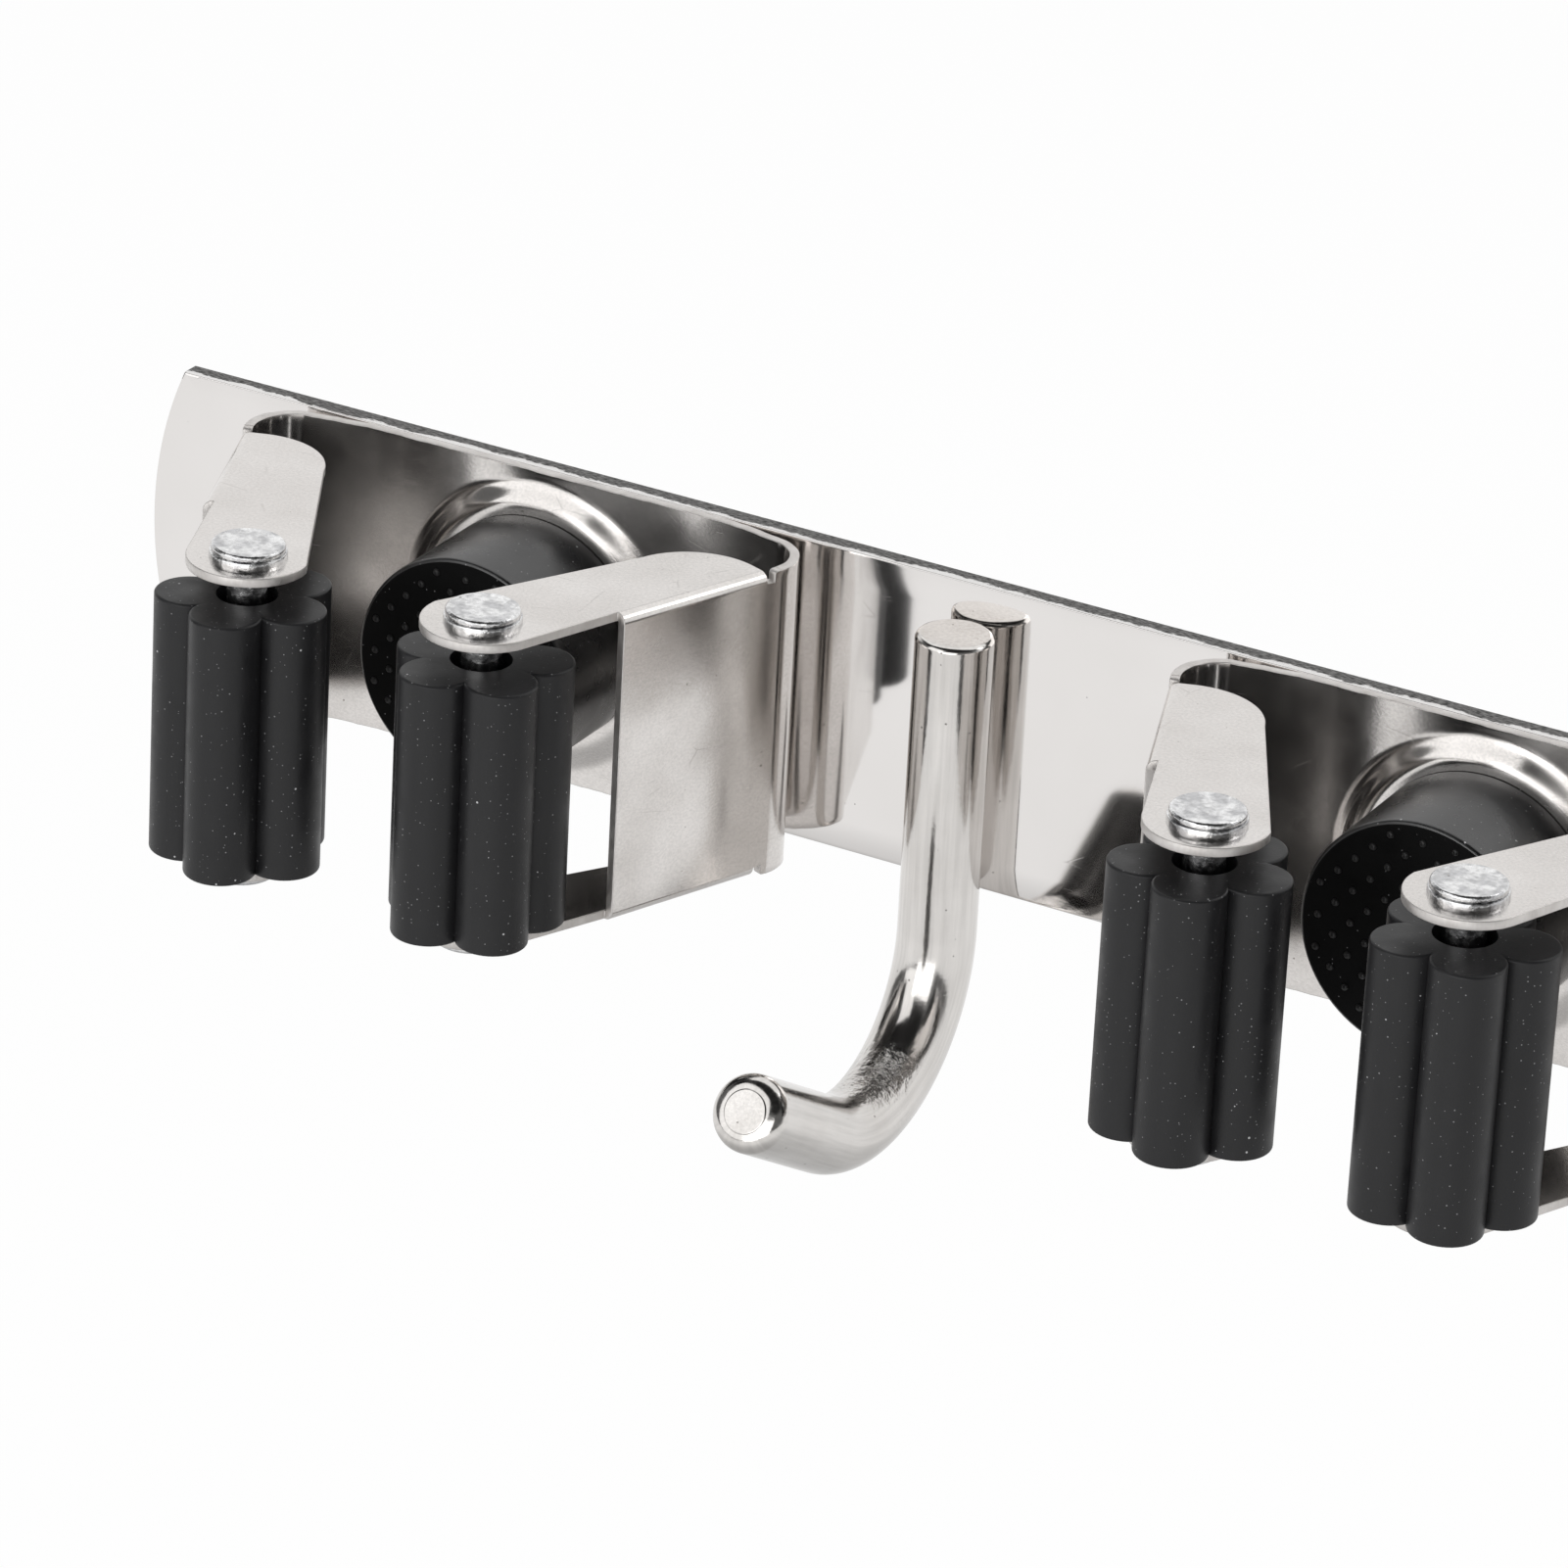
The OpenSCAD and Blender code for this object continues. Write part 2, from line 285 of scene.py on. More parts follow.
def parts_of(vector):
    """X, Y and Z of a vector."""
    node = place(tree_of(vector), "ShaderNodeSeparateXYZ")
    feed(node.inputs[0], vector)
    return node.outputs


def vector_maths(operation, first, second=None):
    """Vector node of two vectors, or of one."""
    node = place(tree_of(first), "ShaderNodeVectorMath", operation=operation)
    feed(node.inputs[0], first)
    if second is not None:
        feed(node.inputs[1], second)
    return node.outputs["Value" if operation in ("DISTANCE", "LENGTH") else "Vector"]


def noise_of(vector, scale, detail, **settings):
    """Noise node over a vector."""
    node = place(tree_of(vector), "ShaderNodeTexNoise", **settings)
    return wire(node, Vector=vector, Scale=scale, Detail=detail)


# Patterns that several finishes share

def new_group(name, inputs, outputs):
    """Empty shader node group with named sockets; returns the tree, its inputs' values and its end."""
    tree = bpy.data.node_groups.new(name, "ShaderNodeTree")
    for label, (kind, value) in inputs.items():
        socket = tree.interface.new_socket(label, in_out="INPUT", socket_type=kind)
        if value is not None:
            socket.default_value = value
    for label in outputs:
        tree.interface.new_socket(label, in_out="OUTPUT", socket_type=FLOAT)
    return tree, place(tree, "NodeGroupInput").outputs, place(tree, "NodeGroupOutput")


def use_group(group, **values):
    """Places a group with its values and returns its outputs."""
    return wire(place(tree_of(*values.values()), "ShaderNodeGroup", node_tree=group), **values).outputs


def make_speck_group():
    """Small round specks, such as dust and pits, scattered over the surface."""
    tree, given, end = new_group("scattered_specks", {
        "Vector": (VECTOR, None),
        "Cells": (FLOAT, 1.0),
        "Share": (FLOAT, 0.2),
        "Size": (FLOAT, 0.2),
    }, ["Mask"])
    cells = grow("ShaderNodeTexVoronoi", Vector=given["Vector"], Scale=given["Cells"])
    luck = place(tree, "ShaderNodeSeparateColor")
    feed(luck.inputs[0], cells.outputs["Color"])
    reach = times(given["Size"], spread(luck.outputs[1], 0, 1, 0.4, 1))
    near = spread(cells.outputs["Distance"], times(reach, 0.6), reach, 1, 0, soft=True)
    chosen = maths("LESS_THAN", luck.outputs[0], given["Share"])
    wire(end, Mask=times(near, chosen))
    return tree


def make_hairline_group():
    """Fine scattered scratches: the edges of long thin cells, broken up by a noise."""
    tree, given, end = new_group("hairline_scratches", {
        "Vector": (VECTOR, None),
        "Stretch": (VECTOR, (1, 1, 0.1)),
        "Scale": (FLOAT, 0.5),
        "Width": (FLOAT, 0.01),
        "Share": (FLOAT, 0.5),
    }, ["Mask"])
    drawn = vector_maths("MULTIPLY", given["Vector"], given["Stretch"])
    lines = place(tree, "ShaderNodeTexVoronoi", feature="DISTANCE_TO_EDGE")
    wire(lines, Vector=drawn, Scale=given["Scale"])
    thin = spread(lines.outputs["Distance"], 0, given["Width"], 1, 0, soft=True)
    breaks = noise_of(given["Vector"], times(given["Scale"], 0.7), detail=2.0)
    level = minus(1.0, given["Share"])
    kept = spread(breaks.outputs["Fac"], level, plus(level, 0.08), 0, 1)
    wire(end, Mask=times(thin, kept))
    return tree


def make_grain_group():
    """Fine surface grain and broad cloudiness of worked metal or moulded rubber."""
    tree, given, end = new_group("surface_grain", {
        "Vector": (VECTOR, None),
        "Stretch": (VECTOR, (1, 1, 1)),
        "Fine": (FLOAT, 6.0),
        "Broad": (FLOAT, 0.08),
    }, ["Grain", "Cloud"])
    drawn = vector_maths("MULTIPLY", given["Vector"], given["Stretch"])
    fine = noise_of(drawn, given["Fine"], detail=3.0)
    broad = noise_of(given["Vector"], given["Broad"], detail=2.0)
    wire(end, Grain=fine.outputs["Fac"], Cloud=broad.outputs["Fac"])
    return tree


specks = make_speck_group()
hairlines = make_hairline_group()
grain = make_grain_group()


# Finishes

def start_material(name, metallic, specular=0.5):
    """Material with a Principled shader and Object coordinates in millimetres."""
    material = bpy.data.materials.new(name)
    material.use_nodes = True
    tree = material.node_tree
    shader = wire(tree.nodes["Principled BSDF"], Metallic=metallic, Specular_IOR_Level=specular)
    where = place(tree, "ShaderNodeTexCoord")
    scale = grow("ShaderNodeMapping", Vector=where.outputs["Object"], Scale=(1 / MM, 1 / MM, 1 / MM))
    return material, shader, scale.outputs["Vector"]


def raise_bump(shader, height, distance, strength):
    """Gives a shader the relief of a height."""
    bump = grow("ShaderNodeBump", Height=height, Distance=distance, Strength=strength)
    wire(shader, Normal=bump.outputs["Normal"])


def pitted(at, colour, dark, depth, **pits):
    """Colour with dark pits scattered over it, and the pits' mask."""
    mask = use_group(specks, Vector=at, **pits)["Mask"]
    return tint(times(mask, depth), colour, dark), mask


def polished_steel():
    """Mirror-polished stainless plate with faint haze, hairlines and pits."""
    material, shader, at = start_material("polished_plate", metallic=1.0)
    cloud = use_group(grain, Vector=at, Fine=2.2, Broad=0.06)["Cloud"]
    scored = use_group(hairlines, Vector=at, Stretch=(0.2, 1, 1), Scale=0.35, Width=0.012,
                       Share=0.42)["Mask"]
    colour = tint(cloud, (0.80, 0.778, 0.765), (0.74, 0.718, 0.70))
    colour, pits = pitted(at, colour, dark=(0.10, 0.09, 0.08), depth=0.75,
                          Cells=0.55, Share=0.16, Size=0.1)
    rough = plus(grade(cloud, 0.045, 0.075), times(scored, 0.10))
    wire(shader, Base_Color=colour, Roughness=rough)
    height = minus(minus(1.0, pits), times(scored, 0.3))
    raise_bump(shader, height, distance=0.004 * MM, strength=0.5)
    return material


def drawn_rod():
    """Polished rod: draw lines along it, pits, and steel crumpled by the bending tool inside the bend."""
    material, shader, at = start_material("polished_rod", metallic=1.0)
    on_rod = place(tree_of(at), "ShaderNodeAttribute", attribute_name=ROD_MAP).outputs["Vector"]
    drawn = use_group(grain, Vector=on_rod, Stretch=(1, 1, 0.05), Fine=1.5, Broad=0.12)
    colour = tint(drawn["Cloud"], (0.76, 0.74, 0.72), (0.58, 0.555, 0.53))
    lined = spread(drawn["Grain"], 0.35, 0.65, 0.91, 1.04)
    colour = tint(1.0, colour, lined, "MULTIPLY")
    colour, pits = pitted(at, colour, dark=(0.10, 0.09, 0.08), depth=0.8,
                          Cells=0.9, Share=0.26, Size=0.17)
    wire(shader, Base_Color=colour, Roughness=grade(drawn["Grain"], 0.11, 0.19))
    away = vector_maths("DISTANCE", at, crumple_at / MM)
    crumple_core = 2.5
    crumple_reach = 9.0
    crumple_rise = 20.0
    patch = spread(away, crumple_core, crumple_reach, crumple_rise, 0.0, soft=True)
    crumple = noise_of(at, scale=1.1, detail=4.0)
    height = times(crumple.outputs["Fac"], plus(patch, 1.0))
    height = minus(plus(height, drawn["Grain"]), pits)
    raise_bump(shader, height, distance=0.012 * MM, strength=1.0)
    return material


def rolled_steel():
    """Satin cold-rolled spring strip: its gloss spreads across the rolling direction."""
    material, shader, at = start_material("rolled_strip", metallic=1.0)
    tangent = place(tree_of(at), "ShaderNodeTangent", direction_type="UV_MAP", uv_map=STRIP_MAP)
    wire(shader, Anisotropic=0.6, Tangent=tangent.outputs["Tangent"])
    cloud = use_group(grain, Vector=at, Stretch=(0.7, 0.7, 1), Fine=3.6, Broad=0.11)
    scored = use_group(hairlines, Vector=at, Stretch=(0.25, 0.25, 1), Scale=0.3, Width=0.016,
                       Share=0.46)["Mask"]
    colour = tint(cloud["Cloud"], (0.77, 0.745, 0.725), (0.62, 0.59, 0.565))
    fine = spread(cloud["Grain"], 0.35, 0.65, 0.93, 1.03)
    colour = tint(1.0, colour, fine, "MULTIPLY")
    colour = tint(times(scored, 0.17), colour, (0.30, 0.28, 0.26))
    colour, _ = pitted(at, colour, dark=(0.16, 0.14, 0.12), depth=0.75, Cells=0.7, Share=0.2, Size=0.13)
    rough = plus(grade(cloud["Cloud"], 0.13, 0.22), times(scored, 0.08))
    wire(shader, Base_Color=colour, Roughness=rough)
    height = minus(cloud["Grain"], times(scored, 0.4))
    raise_bump(shader, height, distance=0.012 * MM, strength=0.25)
    return material


def cut_strip_edge():
    """Sheared edge of the strip: bright, streaked across its thickness."""
    material, shader, at = start_material("cut_strip_edge", metallic=1.0)
    cloud = use_group(grain, Vector=at, Stretch=(1, 1, 0.3), Fine=3.0, Broad=0.4)
    colour = tint(cloud["Cloud"], (0.80, 0.78, 0.76), (0.50, 0.47, 0.45))
    wire(shader, Base_Color=colour, Roughness=grade(cloud["Grain"], 0.4, 0.6))
    raise_bump(shader, cloud["Grain"], distance=0.03 * MM, strength=0.5)
    return material


def sheared_plate_edge():
    """Rim of the plate: a burnished band next to the front, then a dark torn one."""
    material, shader, at = start_material("sheared_plate_edge", metallic=1.0)
    cloud = use_group(grain, Vector=at, Stretch=(0.6, 2.5, 2.5), Fine=2.0, Broad=0.16)
    depth = times(parts_of(at)["Y"], -1.0)
    ragged = times(minus(cloud["Grain"], 0.5), 1.3)
    wander = times(minus(cloud["Cloud"], 0.5), 2.6)
    line = plus(depth, plus(ragged, wander))
    burnished = spread(line, 1.95, 2.2, 0, 1, soft=True)
    broken = spread(cloud["Grain"], 0.35, 0.65, 0, 1)
    torn = tint(broken, (0.03, 0.029, 0.028), (0.27, 0.265, 0.26))
    colour = tint(burnished, torn, (0.76, 0.75, 0.74))
    wire(shader, Base_Color=colour, Roughness=spread(burnished, 0, 1, 0.55, 0.2))
    height = times(cloud["Grain"], minus(1.1, burnished))
    raise_bump(shader, height, distance=0.15 * MM, strength=0.6)
    return material


def hammered_steel():
    """Rivet heads: bright steel, dented by the riveting hammer."""
    material, shader, at = start_material("hammered_rivet", metallic=1.0)
    cloud = use_group(grain, Vector=at, Fine=1.5, Broad=0.5)
    patchy = spread(cloud["Cloud"], 0.36, 0.62, 0, 1, soft=True)
    colour = tint(patchy, (0.84, 0.84, 0.84), (0.56, 0.56, 0.57))
    fine = spread(cloud["Grain"], 0.35, 0.6, 0.78, 1.03)
    colour = tint(1.0, colour, fine, "MULTIPLY")
    colour, _ = pitted(at, colour, dark=(0.30, 0.29, 0.29), depth=1.0, Cells=0.9, Share=0.18, Size=0.2)
    wire(shader, Base_Color=colour, Roughness=grade(cloud["Grain"], 0.14, 0.28))
    raise_bump(shader, cloud["Grain"], distance=0.10 * MM, strength=0.7)
    return material


def moulded_rubber(name, dark, light, rough, specular, dust):
    """Charcoal moulded rubber with a mottled skin, and coarse and powdery specks of dust."""
    material, shader, at = start_material(name, metallic=0.0, specular=specular)
    skin = use_group(grain, Vector=at, Fine=3.5, Broad=0.25)
    coarse = use_group(specks, Vector=at, Cells=0.6, Share=0.6 * dust, Size=0.11)["Mask"]
    powder = use_group(specks, Vector=at, Cells=1.7, Share=1.4 * dust, Size=0.2)["Mask"]
    dusty = times(plus(coarse, times(powder, 0.42), clamp=True), 0.85)
    colour = tint(dusty, tint(skin["Cloud"], dark, light), (0.55, 0.55, 0.56))
    mottled = grade(skin["Cloud"], *rough)
    wire(shader, Base_Color=colour, Roughness=plus(mottled, times(dusty, 0.3), clamp=True))
    height = plus(skin["Grain"], times(coarse, 0.8))
    raise_bump(shader, height, distance=0.03 * MM, strength=0.5)
    return material


def small_metal(name, bright, dull, rough):
    """Turned or plated small parts behind the plate and in the posts."""
    material, shader, at = start_material(name, metallic=1.0)
    cloud = use_group(grain, Vector=at, Stretch=(1, 3, 1), Fine=4.0, Broad=0.6)
    wire(shader, Base_Color=tint(cloud["Cloud"], bright, dull), Roughness=grade(cloud["Grain"], *rough))
    raise_bump(shader, cloud["Grain"], distance=0.02 * MM, strength=0.5)
    return material


plate_steel = polished_steel()
rod_steel = drawn_rod()
plate_rim = sheared_plate_edge()
strip_steel = rolled_steel()
strip_rim = cut_strip_edge()
rivet_steel = hammered_steel()
roller_rubber = moulded_rubber("roller_rubber", dark=(0.007, 0.007, 0.008), light=(0.015, 0.015, 0.016),
                               rough=(0.36, 0.5), specular=0.36, dust=0.34)
post_rubber = moulded_rubber("post_rubber", dark=(0.006, 0.006, 0.006), light=(0.012, 0.012, 0.013),
                             rough=(0.24, 0.36), specular=0.95, dust=0.26)
# Front face of the post: the post's rubber again, darker and less glossy, as painted shade on the face turned
# away from the light
post_face_painted_shade = moulded_rubber("front_of_post_painted_shade", dark=(0.003, 0.003, 0.003), light=(0.006, 0.006, 0.006),
                           rough=(0.45, 0.6), specular=0.08, dust=0.08)
# Pips: a lighter copy of the post's rubber; the lighter colour is a painted highlight on each pip
pip_rubber_painted_highlight = moulded_rubber("post_pips_painted_highlight", dark=(0.010, 0.010, 0.010), light=(0.016, 0.016, 0.016),
                            rough=(0.26, 0.38), specular=0.36, dust=0.1)
insert_brass = small_metal("insert_brass", bright=(0.72, 0.55, 0.26), dull=(0.58, 0.42, 0.18),
                           rough=(0.25, 0.45))
screw_zinc = small_metal("screw_zinc", bright=(0.62, 0.63, 0.64), dull=(0.46, 0.47, 0.48),
                         rough=(0.25, 0.42))


# Mesh helpers

def new_mesh(name, points, faces, edges=()):
    """Mesh from points, faces and loose edges."""
    mesh = bpy.data.meshes.new(name)
    mesh.from_pydata(points, edges, faces)
    return mesh


def add_object(name, data):
    """New object in the scene."""
    made = bpy.data.objects.new(name, data)
    bpy.context.scene.collection.objects.link(made)
    return made


def new_piece(name, mesh, materials):
    """New object with a mesh and its materials."""
    for material in materials:
        mesh.materials.append(material)
    return add_object(name, mesh)


def bake(piece):
    """Turns a piece with its modifiers into a plain mesh."""
    bpy.context.view_layer.update()
    graph = bpy.context.evaluated_depsgraph_get()
    mesh = bpy.data.meshes.new_from_object(piece.evaluated_get(graph), preserve_all_data_layers=True,
                                           depsgraph=graph)
    piece.modifiers.clear()
    old = piece.data
    piece.data = mesh
    mesh.name = piece.name
    bpy.data.meshes.remove(old)
    return piece


def close_up(mesh):
    """Merges doubled points and turns all faces outwards."""
    merge = 0.2e-6
    work = bmesh.new()
    work.from_mesh(mesh)
    bmesh.ops.remove_doubles(work, verts=work.verts, dist=merge)
    bmesh.ops.recalc_face_normals(work, faces=work.faces)
    work.to_mesh(mesh)
    work.free()


def mark_edges(mesh, stays_square):
    """Turns faces outwards and marks sharp edges for rounding, apart from those that stay square."""
    sharp = math.radians(50)
    work = bmesh.new()
    work.from_mesh(mesh)
    bmesh.ops.recalc_face_normals(work, faces=work.faces)
    weight = work.edges.layers.float.new("bevel_weight_edge")
    for edge in work.edges:
        if edge.calc_face_angle(0) > sharp:
            if stays_square(edge):
                edge.smooth = False
            else:
                edge[weight] = 1.0
    for one in work.faces:
        one.smooth = True
    work.to_mesh(mesh)
    work.free()


def give_slot(mesh, slot, numbers):
    """Sets the material slot of some of a mesh's faces."""
    for number in numbers:
        mesh.polygons[number].material_index = slot


def smooth_by_angle(mesh, degrees):
    """Smooth shading, sharp where faces meet at more than an angle."""
    mesh.shade_smooth()
    mesh.set_sharp_from_angle(angle=math.radians(degrees))


def settle_flats(piece):
    """Shading in which flat faces stay flat up to their rounded edges."""
    flats = piece.modifiers.new("flats", "WEIGHTED_NORMAL")
    flats.keep_sharp = True
    return bake(piece)


def soften_edges(piece, width, rim_slot):
    """Small rounded edges on the marked edges, with clean shading on the flats."""
    bevel = piece.modifiers.new("edges", "BEVEL")
    bevel.limit_method = "WEIGHT"
    bevel.width = width
    bevel.segments = 2
    bevel.use_clamp_overlap = False
    bevel.material = rim_slot
    return settle_flats(piece)


def attach(piece, body, slot, *nodes):
    """Puts a piece on the body that it rides on and hides the nodes that it replaces; the slot is not used.
    """
    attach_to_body(piece, body)
    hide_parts(*nodes)


def quarter(steps):
    """Angles of a quarter turn, both ends included."""
    return [math.pi / 2 * i / steps for i in range(steps + 1)]


def circle(steps):
    """Angles of a full turn."""
    return [2 * math.pi * i / steps for i in range(steps)]


def arc(centre, radius, start, stop, steps):
    """Points on an arc, both ends included."""
    turns = [start + (stop - start) * i / steps for i in range(steps + 1)]
    return [(centre[0] + radius * math.cos(t), centre[1] + radius * math.sin(t)) for t in turns]


def fill_outline(loops):
    """Triangles between an outline and its holes, as (points, faces)."""
    points = []
    edges = []
    for loop in loops:
        first = len(points)
        points += [Vector(p) for p in loop]
        edges += [(first + i, first + (i + 1) % len(loop)) for i in range(len(loop))]
    inside_outline = 1
    nearest = 1e-8
    flat, _, triangles = geometry.delaunay_2d_cdt(points, edges, [], inside_outline, nearest)[:3]

    def inside(spot):
        """True between the outline and the holes."""
        crossings = 0
        for a, b in edges:
            p, q = points[a], points[b]
            if (p.y > spot.y) != (q.y > spot.y):
                crossings += p.x + (spot.y - p.y) * (q.x - p.x) / (q.y - p.y) > spot.x
        return crossings % 2 == 1

    return flat, [t for t in triangles if inside(sum((flat[i] for i in t), Vector((0, 0))) / 3)]


class BentSheet:
    """Sheet metal drawn as pairs of points on its two sides; the cut rim follows."""

    snap = MM / 2000

    def __init__(self):
        self.index = {}
        self.outer = []
        self.inner = []
        self.faces = []

    def point(self, outer, inner):
        key = tuple(round(c / self.snap) for c in outer)
        if key not in self.index:
            self.index[key] = len(self.outer)
            self.outer.append(outer)
            self.inner.append(inner)
        return self.index[key]

    def face(self, pairs):
        self.faces.append([self.point(*pair) for pair in pairs])

    def grid(self, rows):
        """Quads between rows of (outer, inner) pairs."""
        for low, high in zip(rows, rows[1:]):
            for i in range(len(low) - 1):
                self.face([low[i], low[i + 1], high[i + 1], high[i]])

    def build(self, name, square_at, laid_out):
        """Piece with a rounded rim. Edges for which square_at is true stay square, as at a seam.

        laid_out gives a point's place across and along the flat strip, for the map that the gloss follows.
        """
        count = len(self.outer)
        uses = {}
        for face in self.faces:
            for a, b in zip(face, face[1:] + face[:1]):
                uses.setdefault(frozenset((a, b)), []).append((a, b))
        faces = list(self.faces) + [[count + i for i in reversed(f)] for f in self.faces]
        skin = len(faces)
        rim = [found[0] for found in uses.values() if len(found) == 1]
        faces += [[b, a, count + a, count + b] for a, b in rim]
        mesh = new_mesh(name, self.outer + self.inner, faces)
        give_slot(mesh, slot=1, numbers=range(skin, len(faces)))
        mark_edges(mesh, lambda edge: square_at(*(v.co for v in edge.verts)))
        piece = soften_edges(new_piece(name, mesh, [strip_steel, strip_rim]), strip_edge, rim_slot=1)
        layer = piece.data.uv_layers.new(name=STRIP_MAP)
        for loop in piece.data.loops:
            layer.uv[loop.index].vector = laid_out(piece.data.vertices[loop.vertex_index].co)
        return piece


# Plate

def make_plate():
    """Flat plate with bowed ends, a rounded front edge and the two countersunk screw holes."""
    corner_x = plate_l / 2 - plate_end_rise
    end_r = ((plate_h / 2) ** 2 + plate_end_rise ** 2) / (2 * plate_end_rise)
    half = math.asin(plate_h / 2 / end_r)
    right = arc((plate_l / 2 - end_r, 0), end_r, -half, half, steps=32)
    top_steps = 48
    right += [(corner_x * math.cos(math.pi * i / top_steps), plate_h / 2) for i in range(1, top_steps)]
    outline = right + [(-x, -z) for x, z in right]
    hole_section = ((screw_hole_r, plate_t), (screw_hole_r, sink_step + sink_cone), (sink_r, sink_step),
                    (sink_r, 0))
    rings = []
    for rack in RACKS:
        middle = rack_middle(rack)
        rings.append([[(r * math.cos(t) + middle.x, -y, r * math.sin(t) + middle.z) for t in circle(steps=48)]
                      for r, y in hole_section])
    points = []
    faces = []

    def add_flat(y, loops):
        flat, triangles = fill_outline(loops)
        first = len(points)
        points.extend((p.x, y, p.y) for p in flat)
        faces.extend([first + i for i in f] for f in triangles)

    def drawn_in(share):
        """Outline drawn in by a share of the width over which the front rolls off."""
        near_x = 1 - share * plate_roll_w / (plate_l / 2)
        near_z = 1 - share * plate_roll_w / (plate_h / 2)
        return [(x * near_x, z * near_z) for x, z in outline]

    def add_band(low, high):
        first = len(points)
        count = len(low)
        points.extend(low + high)
        for i in range(count):
            after = (i + 1) % count
            faces.append([first + i, first + after, first + count + after, first + count + i])

    add_flat(-plate_t, [drawn_in(1)] + [[(p[0], p[2]) for p in ring[0]] for ring in rings])
    add_flat(0, [outline] + [[(p[0], p[2]) for p in ring[-1]] for ring in rings])
    roll_steps = 8
    front = []
    for i in range(roll_steps + 1):
        share = i / roll_steps
        front.append([(x, plate_roll_d * share ** 2 - plate_t, z) for x, z in drawn_in(1 - share)])
    for low, high in zip(front, front[1:]):
        add_band(low, high)
    skin = len(faces)
    add_band(front[-1], [(x, 0, z) for x, z in outline])
    rim_end = len(faces)
    for ring in rings:
        for low, high in zip(ring, ring[1:]):
            add_band(low, high)
    mesh = new_mesh("plate", points, faces)
    give_slot(mesh, slot=1, numbers=range(skin, rim_end))
    close_up(mesh)
    mark_edges(mesh, lambda edge: len({f.material_index for f in edge.link_faces}) == 1)
    piece = new_piece("plate", mesh, [plate_steel, plate_rim])
    soften_edges(piece, plate_edge, rim_slot=0)
    attach(piece, "rack", "plate_steel", "back_plate")


# Clip bases

def ripple(along):
    """Slight waviness of the strip's cut edge, in metres."""
    return edge_wave_h * sum(share * math.sin(turn * along / MM + phase) for share, turn, phase in EDGE_WAVES)


def boss_share(radius):
    """Height of the pressed boss as a share of its rise, smooth at its foot and top."""
    t = min(1, max(0, (boss_foot_r - radius) / (boss_foot_r - boss_top_r)))
    return t * t * t * (t * (6 * t - 15) + 10)


def make_clip_base(rack):
    """Strip on the plate with its pressed boss, the shallow curves and the two folds."""
    middle = rack_middle(rack)
    half_h = strip_h / 2
    rows = 40
    levels = [-half_h + strip_h * i / rows for i in range(rows + 1)]
    sheet = BentSheet()

    def pair(outer_xy, inner_xy, level, along):
        edge = 0.0
        if level in (levels[0], levels[-1]):
            edge = ripple(along) - edge_inset
        z = level + math.copysign(edge, level)
        return tuple(Vector((middle.x + x, y, middle.z + z)) for x, y in (outer_xy, inner_xy))

    # Flat with the boss: rings around the screw hole, out to the four sides of the flat
    side = clip_flat / 2
    across = 42
    spots = [(side, z) for z in levels[:-1]]
    spots += [(side - clip_flat * i / across, half_h) for i in range(across)]
    spots += [(-side, z) for z in reversed(levels[1:])]
    spots += [(-side + clip_flat * i / across, -half_h) for i in range(across)]
    radii = [screw_hole_r, *BOSS_TOP_RINGS]
    slope_steps = 18
    radii += [boss_top_r + (boss_foot_r - boss_top_r) * i / slope_steps for i in range(slope_steps + 1)]
    loops = []
    for radius in radii:
        rise = boss_rise * boss_share(radius)
        loop = []
        for x, z in spots:
            t = math.atan2(z, x)
            out_x = middle.x + radius * math.cos(t)
            out_z = middle.z + radius * math.sin(t)
            loop.append(tuple(Vector((out_x, -(y + rise), out_z)) for y in (plate_t, strip_front)))
        loops.append(loop + loop[:1])
    rim_loop = [pair((x, -plate_t), (x, -strip_front), z, x) for x, z in spots]
    loops.append(rim_loop + rim_loop[:1])
    sheet.grid(loops)

    # Curves on either side
    seam_slack = 0.01
    fold_start = math.pi / 2 - lead_a
    sweep = fold_start + web_lean
    lead_steps = 14
    fold_steps = 30
    for hand in (1, -1):
        columns = []
        for i in range(lead_steps + 1):
            t = lead_a * i / lead_steps
            way = Vector((math.sin(t), math.cos(t)))
            columns.append((lead_c + (lead_r + strip_t) * way, lead_c + lead_r * way, side + lead_r * t))
        for i in range(1, fold_steps + 1):
            turned = sweep * i / fold_steps
            way = Vector((math.cos(fold_start - turned), math.sin(fold_start - turned)))
            columns.append((fold_c + (fold_r + strip_t) * way, fold_c + fold_r * way,
                            side + lead_r * lead_a + fold_r * turned))
        sheet.grid([[pair((hand * o.x, o.y), (hand * n.x, n.y), z, hand * s) for z in levels]
                    for o, n, s in columns])

    def fold_angle(p):
        """Angle of a point about the centre of the fold on its side."""
        return math.atan2(p.y - fold_c.y, abs(p.x - middle.x) - fold_c.x)

    def square_at(a, b):
        at_hole = all(math.hypot(p.x - middle.x, p.z - middle.z) < 2 * screw_hole_r for p in (a, b))
        at_seam = all(fold_angle(p) < seam_slack - web_lean for p in (a, b))
        return at_hole or at_seam

    def laid_out(p):
        along = abs(p.x - middle.x)
        turned = fold_start - fold_angle(p)
        if 0 < turned < math.pi:
            along = fold_c.x + fold_r * (math.sin(lead_a) + turned)
        return p.z, math.copysign(along, p.x - middle.x)

    piece = sheet.build(rack + "_clip_strip", square_at, laid_out)
    attach(piece, "rack", "strip_steel", rack + "_clip_base")


# Arms

def arm_to_rack(name):
    """Function that puts a point of an arm's own frame in place: x along the arm, y out, z up."""
    rack, side = ARMS[name]
    middle = rack_middle(rack)
    cos_t = math.cos(arm_turn)
    sin_t = math.sin(arm_turn)

    def put(x, y, z):
        along = seam_at.x + cos_t * x - sin_t * y
        out = seam_at.y + sin_t * x + cos_t * y
        return Vector((middle.x + side * along, out, middle.z + z))

    return put


